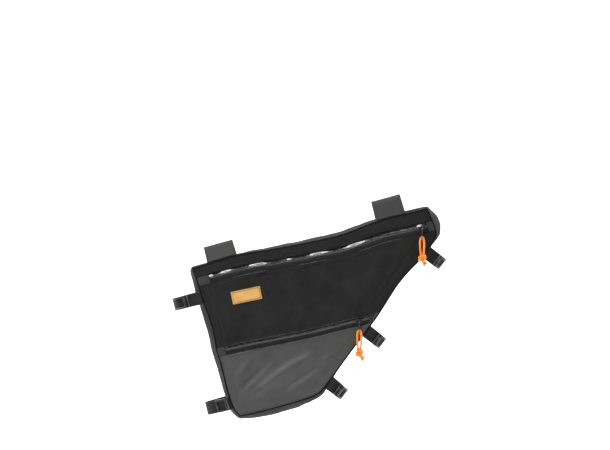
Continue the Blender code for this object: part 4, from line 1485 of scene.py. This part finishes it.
@dataclass
class Zip:
    """One weatherproof zip: two film-faced tapes, end tabs, slider, wire loop and cord pull."""

    shape: BagShape
    prefix: str
    level: float
    slider_share: float
    hook_share: float
    rear_tab: float
    front_tab: float
    waves: Table
    puckers: Table
    lean: float
    tape_overlap: float = 0.005
    tape_thickness: float = 0.001
    tab_length: float = 0.018
    slider_length: float = 0.0115
    slider_width: float = 0.0095
    slider_height: float = 0.0034
    plate: float = 0.0011
    lip_wall: float = 0.0010
    bridge_wire: float = 0.0020
    bridge_rise: float = 0.0032
    loop_wire: float = 0.0015
    loop_width: float = 0.0068
    loop_length: float = 0.0205
    cord_diameter: float = 0.004
    pull_narrowing: float = 0.86
    knot_height: float = 0.0175
    wrap_wave: float = 0.0005
    slit: float = 0.0005
    film_lean: float = 1.6
    film_swell: float = 0.00015
    film_crinkles: Ripple = (0.004, 0.016, 0.00013)
    film_width: float = 0.006
    lip_height: float = 0.0005
    lip_width: float = 0.0006
    thread_radius: float = 0.0002
    pucker_size: float = 0.0017
    pucker_wave: float = 0.0040
    pucker_patches: Ripple = (0.02, 0.09, 0.75)
    pucker_fade: float = 0.02
    coil_depth: float = 0.0016
    coil_radius: float = 0.0009
    tab_gap: float = 0.0012
    tab_crinkles: Ripple = (0.010, 0.030, 0.00015)

    def tape_face(self, places: Array) -> Array:
        """The y of the tape's outer face at places in the plane."""
        return -(self.shape.face(places) - self.shape.fabric - self.shape.clearance)

    def swell(self, across: Array, inset: Array, upper: bool) -> Array:
        """How far a tape half stands out between the hem and the slit.

        Args:
            across: Shares across the bag.
            inset: From 0 at the hem to 1 at the slit.
            upper: Whether it is the upper half.

        Returns:
            The lift in metres.
        """
        arch = np.sin(math.pi * np.clip(inset, 0.0, 1.0) ** self.film_lean)
        total = self.film_swell * arch
        if upper:
            for middle, reach, height in self.waves:
                total = total + 0.001 * height * arch * bell(across - middle, reach)
            run = np.stack((across * self.shape.seam_length, inset * self.film_width), axis=-1)
            total = total + arch * ripples(run, 61, *self.film_crinkles)
        return total

    def tapes(self) -> None:
        """Makes the two halves of the tape, each with its own film, and the coil behind."""
        half = 0.5 * self.shape.zip_opening
        trim = (0.5 * self.shape.piping + self.shape.fabric) / self.shape.seam_length
        across = np.linspace(trim, 1 - trim, 360)
        outside = half + self.tape_overlap
        rows = 20
        for upper, sign in ((True, -1), (False, 1)):
            out = np.linspace(outside, 0.5 * self.slit, rows)
            level = self.level + sign * out[:, None] / self.shape.seam_depth
            wide, level = np.broadcast_arrays(across[None, :], level)
            places = self.shape.point(wide, level)
            inset = np.broadcast_to(1 - out[:, None] / half, wide.shape)
            lift = self.swell(wide, inset, upper)
            from_slit = out[:, None] - 0.5 * self.slit
            lip = self.lip_height * np.exp(-from_slit / self.lip_width)
            y = self.tape_face(places) - lift + lip
            grain = grain_of(places[..., 0], places[..., 1], np.clip(inset, 0, 1) ** 6)
            form = Form()
            form.grid(self.shape.world(stand(places, y)), grain, NEAR_OUT)
            word = "upper" if upper else "lower"
            add_piece(
                form,
                f"{self.prefix}_zip_film_{word}",
                ZIP_FILM if upper else ZIP_FILM_MATT,
                (f"{self.prefix}_zip_tape",),
                0.6 * self.tape_thickness,
            )
        self.coil(across)
        self.bead()

    def bead(self) -> None:
        """Makes the puckered lines of glossy film that show along the hems' stitches."""
        half = (0.5 * self.shape.zip_opening + 0.0006) / self.shape.seam_depth
        form = Form()
        for sign, start, end, size in self.puckers:
            across = np.linspace(start, end, int(900 * (end - start)))
            places = self.shape.point(across, self.level + sign * half)
            y = -self.shape.face(places, 0.0008)
            run = np.stack((places[:, 0], 0 * across), axis=-1)
            pucker = 0.5 + 0.5 * np.sin(2 * math.pi * places[:, 0] / self.pucker_wave)
            patchy = np.clip(0.5 + ripples(run, 91, *self.pucker_patches), 0.0, 1.0)
            fade = ease(start, start + self.pucker_fade, across)
            fade = fade * (1 - ease(end - self.pucker_fade, end, across))
            radius = self.thread_radius + self.pucker_size * size * pucker * patchy * fade
            form.tube(self.shape.world(stand(places, y)), radius, 8)
        add_piece(form, f"{self.prefix}_zip_film_puckers", ZIP_FILM_PUCKER)

    def coil(self, across: Array) -> None:
        """Makes the coil that shows in the slit."""
        places = self.shape.point(across, self.level)
        path = spread(stand(places, self.tape_face(places) + self.coil_depth), 500)
        form = Form()
        form.tube(self.shape.world(path), self.coil_radius, 8)
        add_piece(form, f"{self.prefix}_zip_coil", BLACK_COIL)

    def tab(self, front: bool) -> None:
        """Makes the grey tab over one end of the zip, with its two rows of stitches."""
        half = 0.5 * self.shape.zip_opening / self.shape.seam_depth
        size = self.tab_length * (self.front_tab if front else self.rear_tab)
        reach = np.linspace(self.tab_gap, size, 26) / self.shape.seam_length
        across = 1 - reach if front else reach
        level = np.linspace(self.level - half, self.level + half, 22)
        wide, deep = np.meshgrid(across, level)
        places = self.shape.point(wide, deep)
        share = (deep - self.level) / half
        cloth = ripples(places, 71, *self.tab_crinkles)
        free = np.clip((reach * self.shape.seam_length - self.tab_gap) / size, 0, 1)[None, :]
        y = -self.shape.face(places, 0.0002 + 0.0004 * (1 - share**2) + cloth) + 0.0006 * (
            free**8
        )
        edge = np.maximum(np.abs(share) ** 6, np.broadcast_to(free**6, share.shape))
        grain = grain_of(places[..., 0], places[..., 1], edge)
        form = Form()
        form.grid(self.shape.world(stand(places, y)), grain, NEAR_OUT)
        end = "front" if front else "rear"
        name = f"{self.prefix}_zip_tab_{end}"
        add_piece(form, name + "_cloth", GREY_TAB, (name,), self.shape.fabric)
        seam = Form()
        for column in (-4, -2):
            line = self.shape.world(stand(places[:, column], y[:, column] - 0.0001))
            seam.stitches(spread(line, 60), NEAR_OUT, 0.0022, 0.0008)
        add_piece(seam, name + "_stitches", BLACK_THREAD)

    def slider_frame(self) -> tuple[Array, float]:
        """The slider's middle in the bag's frame, and the zip's slope there."""
        place = self.shape.point(self.slider_share, self.level)
        step = self.shape.point(self.slider_share + 0.01, self.level) - self.shape.point(
            self.slider_share - 0.01, self.level
        )
        back = float(self.tape_face(place)) - 2 * self.shape.clearance
        middle = np.array((place[0], back - 0.5 * self.slider_height, place[1]))
        return middle, math.atan2(step[1], step[0])

    def on_slider(self, points: Array) -> Array:
        """Takes points from the slider's own frame (along, out, up) to the row's frame."""
        middle, slope = self.slider_frame()
        return self.shape.world(turned(points * (1, -1, 1), slope) + middle)

    def slider(self) -> None:
        """Makes the slider: two plates, the post between them, side lips and the bridge."""
        length, height, width = self.slider_length, self.slider_height, self.slider_width
        form = Form()
        plate = self.plate
        face = 0.5 * height
        for side in (1, -1):
            centre = (0, side * (face - 0.5 * plate), 0)
            form.block((length, plate, width), centre, 0.0005, self.on_slider)
        form.block(
            (0.35 * length, height - plate, 0.4 * width), (0.2 * length, 0, 0), 0.0004,
            self.on_slider,
        )
        for side in (-1, 1):
            form.block(
                (0.7 * length, height, self.lip_wall),
                (-0.12 * length, 0, side * (0.5 * width - 0.5 * self.lip_wall)),
                0.0004,
                self.on_slider,
            )
        half = 0.36 * length
        rise = self.bridge_rise
        arch = np.array((
            (-half, face - 0.5 * plate, 0.0),
            (-half, face + 0.6 * rise, 0.0),
            (-0.8 * half, face + rise, 0.0),
            (0.0, face + 1.04 * rise, 0.0),
            (0.8 * half, face + rise, 0.0),
            (half, face + 0.6 * rise, 0.0),
            (half, face - 0.5 * plate, 0.0),
        ))
        form.tube(self.on_slider(smooth_line(arch, 40)), 0.5 * self.bridge_wire, 12)
        name = f"{self.prefix}_slider"
        add_piece(form, name + "_body", DARK_METAL, (name,))

    def wire_loop(self) -> None:
        """Makes the wire loop that hangs from the bridge."""
        middle, slope = self.slider_frame()
        shift = self.hook_share * self.slider_length
        hook = self.shape.world(
            middle
            + np.array((shift * math.cos(slope), -0.5 * self.slider_height,
                        shift * math.sin(slope)))
        )
        clear = self.shape.clearance
        back = hook[1] - clear - 0.5 * self.loop_wire
        top = hook[2] + 0.5 * self.bridge_wire + 2 * clear + 0.5 * self.loop_wire
        radius = 0.5 * self.loop_width
        angle = np.linspace(0, math.pi, 19)
        ring = np.concatenate([
            np.stack((
                np.full(angle.shape, hook[0]),
                back - radius * (1 + sign * np.cos(angle)),
                top - drop + sign * radius * (1 - np.sin(angle)),
            ), axis=1)
            for sign, drop in ((-1, 0.0), (1, self.loop_length))
        ])
        form = Form()
        ring = spread(np.concatenate((ring, ring[:1])), 90, closed=True)
        form.tube(ring, 0.5 * self.loop_wire, 10, closed=True)
        name = f"{self.prefix}_pull_loop"
        add_piece(form, name + "_wire", GREY_WIRE, (name,))

    def knot_middle(self) -> Array:
        """The middle of the pull's knot."""
        route = np.array(CORD_ROUTES[self.prefix])
        middle = 0.5 * (route[0] + route[-1])
        middle[2] -= 0.5 * self.knot_height + self.shape.clearance
        return middle

    def knot(self) -> bpy.types.Object:
        """Makes the knot: two wraps round the strands, a crossing strand and two cut tails."""
        middle = self.knot_middle()
        radius = 0.5 * self.cord_diameter
        form = Form()
        angle = np.linspace(0, 2 * math.pi, 60, endpoint=False)
        for height, tilt, wide in KNOT_WRAPS:
            loop = np.stack((
                wide * np.cos(angle),
                self.cord_diameter * np.sin(angle),
                height + wide * tilt * np.cos(angle) + self.wrap_wave * np.sin(2 * angle),
            ), axis=1)
            form.tube(middle + turned(loop, -self.lean), radius, 14, closed=True)
        for strand in KNOT_STRANDS:
            line = smooth_line(middle + turned(np.array(strand), -self.lean), 40)
            form.tube(line, radius, 14)
        name = f"{self.prefix}_pull_knot"
        return add_piece(form, name + "_cord", ORANGE_BRAID, (name,))

    def pull(self) -> None:
        """Makes the cord pull as two halves from the wire loop to the knot, and the knot."""
        route = np.array(CORD_ROUTES[self.prefix])
        peak = len(route) // 2
        knot = self.knot()
        middle = self.knot_middle()
        route[:, 0] = middle[0] + (route[:, 0] - middle[0]) * self.pull_narrowing
        for word, half in (("rear", route[: peak + 1][::-1]), ("front", route[peak:])):
            into = middle + (half[-1] - middle) * np.array((0.7, 1.0, 0.45))
            line = smooth_line(np.vstack((half, into)), 36)
            form = Form()
            form.tube(line, 0.5 * self.cord_diameter, 16)
            made = add_piece(
                form,
                f"{self.prefix}_pull_cord_{word}",
                ORANGE_BRAID,
                (f"{self.prefix}_pull_cord",),
            )

    def build(self) -> None:
        """Makes the zip's pieces apart from its pull."""
        self.tapes()
        self.tab(front=False)
        self.tab(front=True)
        self.slider()
        self.wire_loop()


@dataclass
class Label:
    """The bare amber patch with its plain stitched border."""

    shape: BagShape
    middle: tuple[float, float] = (0.185, 0.257)
    length: float = 0.053
    height: float = 0.0228
    thickness: float = 0.0012
    tilt: float = math.radians(-3.3)
    corner: float = 0.0012
    stitch_inset: float = 0.0022
    edge_drop: float = 0.0003
    edge_slope: float = 0.0016
    groove_depth: float = 0.00025
    groove_width: float = 0.0006
    crinkles: Ripple = (0.012, 0.04, 0.00008)

    def surface(self, u: Array, v: Array, lift: Array | float = 0.0) -> Array:
        """Points on the patch from distances along and up from its middle."""
        turn = np.array((math.cos(self.tilt), math.sin(self.tilt)))
        side = np.array((-turn[1], turn[0]))
        places = self.shape.in_plane(*self.middle) + u[..., None] * turn + v[..., None] * side
        y = -(self.shape.face(places) + self.shape.clearance + self.thickness + lift)
        return self.shape.world(stand(places, y))

    def build(self) -> None:
        """Makes the patch and its stitches."""
        half, tall = 0.5 * self.length, 0.5 * self.height
        u, v = np.meshgrid(np.linspace(-1, 1, 90), np.linspace(1, -1, 44))
        reach = np.abs(u) * half, np.abs(v) * tall
        cut = np.maximum(reach[0] - half + self.corner, 0), np.maximum(
            reach[1] - tall + self.corner, 0
        )
        beyond = np.maximum(np.hypot(*cut) - self.corner, 0.0)
        shrink = 1 - beyond / np.maximum(np.hypot(*reach), 1e-6)
        along, up = u * half * shrink, v * tall * shrink
        margin = np.minimum(half - np.abs(along), tall - np.abs(up))
        places = np.stack((along, up), axis=-1)
        lift = self.edge_drop * ease(0.0, self.edge_slope, margin)
        lift = lift + ripples(places, 81, *self.crinkles)
        lift = lift - self.groove_depth * bell(margin - self.stitch_inset, self.groove_width)
        grain = grain_of(along, up, 1 - ease(0.0, self.corner, margin))
        form = Form()
        form.grid(self.surface(along, up, lift), grain, NEAR_OUT)
        add_piece(
            form, "label_patch_cloth", AMBER_PATCH, ("label_patch",),
            self.thickness,
        )
        half, tall = half - self.stitch_inset, tall - self.stitch_inset
        corners = np.array(((-half, tall), (half, tall), (half, -tall), (-half, -tall)))
        seam = Form()
        for start, end in zip(corners, np.roll(corners, -1, axis=0)):
            line = start + (end - start) * np.linspace(0, 1, 40)[:, None]
            path = self.surface(line[:, 0], line[:, 1], 0.0005)
            seam.stitches(path, NEAR_OUT, 0.0030, 0.0012, 0.0010)
        add_piece(seam, "label_patch_stitches", BROWN_THREAD)


@dataclass
class Strap:
    """A strap round one of the spaces, from the near seam to the far seam."""

    shape: BagShape
    name: str
    space: Space
    station: float
    width: float
    thickness: float
    finish: Finish
    slot: Slot
    fit: float = 0.0005
    seed: int = 5
    lanes: int = 8
    places: int = 240
    rib_inset: float = 0.0014
    rib_width: float = 0.0009
    edge_roll: float = 0.0004
    edge_rub: float = 0.0012
    crinkles: Ripple = (0.02, 0.07, 0.00012)
    paths: Array = field(init=False)

    def __post_init__(self) -> None:
        """Works out the strap's line at several stations across it."""
        stations = np.linspace(-0.5, 0.5, self.lanes + 1)
        self.paths = np.array([self.line(self.station + s * self.width) for s in stations])

    def line(self, station: float) -> Array:
        """Places on the outer face at a station, as (towards the bag, y)."""
        radius = self.space.radius + self.fit + self.thickness
        seam = self.space.seam_at(station) - 0.5 * self.shape.piping - self.shape.clearance
        start = np.array((seam, -0.5 * self.shape.seam_gap - 0.5 * self.thickness))
        touch = 0.0
        for _ in range(2):
            bearing = math.atan2(start[1], start[0])
            touch = bearing - math.acos(radius / float(np.hypot(*start)))
            start[0] = seam - self.thickness * abs(math.cos(touch))
        arc = np.linspace(touch, -math.pi, 60)
        round_part = radius * np.stack((np.cos(arc), np.sin(arc)), axis=1)
        half = np.vstack((start, round_part))
        mirror = half[:-1][::-1] * np.array((1.0, -1.0))
        return spread(np.vstack((half, mirror)), self.places)

    @cached_property
    def length(self) -> float:
        """The strap's length along its middle."""
        return float(distances(self.paths[self.lanes // 2])[-1])

    def at(self, share: Array, across: Array, lift: Array | float = 0.0) -> Array:
        """Points on or over the strap's outer face.

        Args:
            share: Shares of the strap's length, from the near seam.
            across: Distances across it from its middle.
            lift: Distance out from the outer face.

        Returns:
            The points in the row's frame.
        """
        share, across, lift = np.broadcast_arrays(
            np.asarray(share, float), np.asarray(across, float), np.asarray(lift, float)
        )
        lanes, last = self.lanes, self.places - 1
        lane = np.clip((across / self.width + 0.5) * lanes, 0, lanes)
        step = np.clip(share * last, 0, last)
        i, j = np.minimum(lane.astype(int), lanes - 1), np.minimum(step.astype(int), last - 1)
        a, b = (lane - i)[..., None], (step - j)[..., None]
        grid = self.paths
        spot = (grid[i, j] * (1 - a) + grid[i + 1, j] * a) * (1 - b) + (
            grid[i, j + 1] * (1 - a) + grid[i + 1, j + 1] * a
        ) * b
        run = unit(grid[lanes // 2, j + 1] - grid[lanes // 2, j])
        out = np.stack((run[..., 1], -run[..., 0]), axis=-1)
        away = np.sign(np.sum(out * spot, axis=-1, keepdims=True))
        spot = spot + out * away * lift[..., None]
        return self.shape.world(
            self.space.point(self.station + across, spot[..., 0], spot[..., 1])
        )

    def build(self, rib: float, rows: int = 24) -> None:
        """Makes the strap.

        Args:
            rib: Height of the selvedge along its two edges.
            rows: Points across it.
        """
        share, lane = np.meshgrid(np.linspace(0, 1, 220), np.linspace(-0.5, 0.5, rows))
        across = lane * self.width
        run = np.stack((share * self.length, across), axis=-1)
        margin = 0.5 * self.width - np.abs(across)
        lift = rib * bell(margin - self.rib_inset, self.rib_width)
        lift = lift - self.edge_roll * np.exp(-margin / self.edge_roll)
        lift = lift + ripples(run, self.seed, *self.crinkles)
        points = self.at(share, across, lift)
        centre = self.at(0.5, 0.0, -(self.space.radius + self.thickness))
        grain = grain_of(run[..., 0], run[..., 1], np.exp(-margin / self.edge_rub))
        form = Form()
        form.grid(points, grain, points - centre)
        add_piece(
            form, self.name + "_band", self.finish, (self.name,), self.thickness
        )

    def sew(self, form: Form, across: float) -> None:
        """Adds a row of stitches along the strap, at a distance across it from its middle."""
        share = np.linspace(0.0, 1.0, 60)
        line = self.at(share, across, 0.0001)
        above = self.at(share, across, 0.002)
        form.stitches(line, unit(above - line))


@dataclass
class Buckle:
    """A ladder buckle on a webbing strap: a frame with two windows, and the webbing's turns."""

    strap: Strap
    name: str
    start: float
    end: float
    thickness: float
    rail_share: float = 0.16
    # Cross bars: middle and length as shares of the buckle's, height as a share of its own
    bars: Table = ((-0.43, 0.14, 0.85), (0.0, 0.18, 0.62), (0.42, 0.16, 1.0))
    lip_size: tuple[float, float] = (0.0012, 0.0010)
    lip_place: tuple[float, float] = (0.0004, 0.0007)
    web_reach: float = 0.36

    def placed(self, points: Array) -> Array:
        """Takes points (along the strap, across, out) to the row's frame."""
        middle = 0.5 * (self.start + self.end)
        share = middle + points[..., 0] / self.strap.length
        return self.strap.at(share, points[..., 1], points[..., 2])

    def build(self) -> None:
        """Makes the buckle's frame and the webbing that passes through it."""
        clear = self.strap.shape.clearance
        size = (self.end - self.start) * self.strap.length
        width, thick = self.strap.width, self.thickness
        rail = self.rail_share * width
        form = Form()
        lip = Form()
        # Light grey lips at both ends of the frame: a painted highlight along the buckle's edges
        for end in (-1, 1):
            lip.block(
                (self.lip_size[0], width - self.lip_size[0], self.lip_size[1]),
                (end * (0.5 * size + self.lip_place[0]), 0, clear + self.lip_place[1]),
                0.0003, self.placed,
            )
        add_piece(lip, self.name + "_lip", BUCKLE_LIP_HIGHLIGHT)
        for side in (-1, 1):
            form.block(
                (size, rail, thick), (0, side * 0.5 * (width - rail), clear + 0.5 * thick),
                min(0.0012, 0.3 * thick), self.placed, slices=8,
            )
        for middle, share, tall in self.bars:
            form.block(
                (share * size, width - rail, tall * thick),
                (middle * size, 0, clear + 0.5 * tall * thick),
                min(0.0010, 0.28 * tall * thick, 0.3 * share * size), self.placed, slices=3,
            )
        add_piece(form, self.name + "_frame", BLACK_PLASTIC, (self.name,))
        web = Form()
        inner = width - 2 * rail - 0.0006
        share = np.linspace(-self.web_reach, self.web_reach, 40)
        rise = 0.45 + 0.42 * np.cos(share / self.web_reach * math.pi / 2) ** 2
        along, across = np.meshgrid(share * size, np.linspace(-0.5, 0.5, 16) * inner)
        lift = clear + np.broadcast_to(rise * thick, along.shape)
        points = self.placed(np.stack((along, across, lift), axis=-1))
        above = self.placed(np.stack((along, across, lift + 0.002), axis=-1))
        edge = np.exp(-(0.5 * inner - np.abs(across)) / 0.001)
        web.grid(points, grain_of(along, across, edge), above - points)
        add_piece(
            web, self.name + "_webbing", BLACK_WEBBING, (),
            min(0.0014, 0.3 * thick),
        )


@dataclass
class Harness:
    """All the straps and buckles."""

    shape: BagShape
    spaces: dict[str, Space]
    top_width: float = 0.0532
    top_thickness: float = 0.0022
    web_width: float = 0.0230
    web_thickness: float = 0.0016
    buckle_thickness: float = 0.0100
    seam_inset: float = 0.003
    top_stations: tuple[tuple[str, float], ...] = (
        ("top_strap_rear", -0.357), ("top_strap_front", 0.357)
    )
    webs: tuple[tuple[str, str, float, float, float, float], ...] = (
        # name, space, station, buckle from, buckle to, buckle thickness
        ("seat_strap_upper", "seat", 0.291, 0.24, 0.58, 1.10),
        ("seat_strap_lower", "seat", 0.955, 0.05, 0.22, 0.45),
        ("down_strap_upper", "down", 0.112, 0.28, 0.58, 0.62),
        ("down_strap_middle", "down", 0.576, 0.28, 0.58, 0.85),
        ("down_strap_lower", "down", 0.874, 0.28, 0.58, 1.05),
    )

    def build(self) -> None:
        """Makes the two top straps and the five webbing straps with their buckles."""
        seams = Form()
        for name, offset in self.top_stations:
            strap = Strap(
                self.shape, name, self.spaces["top"],
                offset * self.shape.seam_length + self.shape.rear_reach,
                self.top_width, self.top_thickness, GREY_STRAP, Slot.STRAP_GREY,
            )
            strap.build(0.0002, rows=40)
            edge = 0.5 * self.top_width - self.seam_inset
            for across in (-edge, edge):
                strap.sew(seams, across)
        add_piece(seams, "top_strap_stitches", BLACK_THREAD)
        for name, space, share, start, end, thick in self.webs:
            strap = Strap(
                self.shape, name, self.spaces[space], share * self.spaces[space].length,
                self.web_width, self.web_thickness, BLACK_WEBBING, Slot.WEBBING,
            )
            strap.build(0.00025)
            Buckle(
                strap, name.replace("strap", "buckle"), start, end,
                thick * self.buckle_thickness,
            ).build()


def main() -> None:
    """Builds the scene: camera, cord pulls, body, zips, label, straps, floor and lights."""
    logging.basicConfig(level=logging.INFO, format="%(name)s: %(message)s")
    shape = BagShape()
    studio = Studio()
    studio.camera()
    upper = Zip(
        shape, "upper", UPPER_ZIP_LEVEL, slider_share=0.951, hook_share=-0.11, rear_tab=1.28,
        front_tab=0.67, waves=UPPER_WAVES, puckers=UPPER_PUCKERS, lean=0.05,
    )
    lower = Zip(
        shape, "lower", LOWER_ZIP_LEVEL, slider_share=0.890, hook_share=0.00, rear_tab=1.20,
        front_tab=0.90, waves=LOWER_WAVES, puckers=LOWER_PUCKERS, lean=-0.10,
    )
    for closure in (upper, lower):
        closure.pull()
    spaces = all_spaces(shape)
    Body(shape, spaces).build()
    for closure in (upper, lower):
        closure.build()
    Label(shape).build()
    Harness(shape, spaces).build()
    studio.floor()
    studio.lights()


if __name__ == "__main__":
    main()
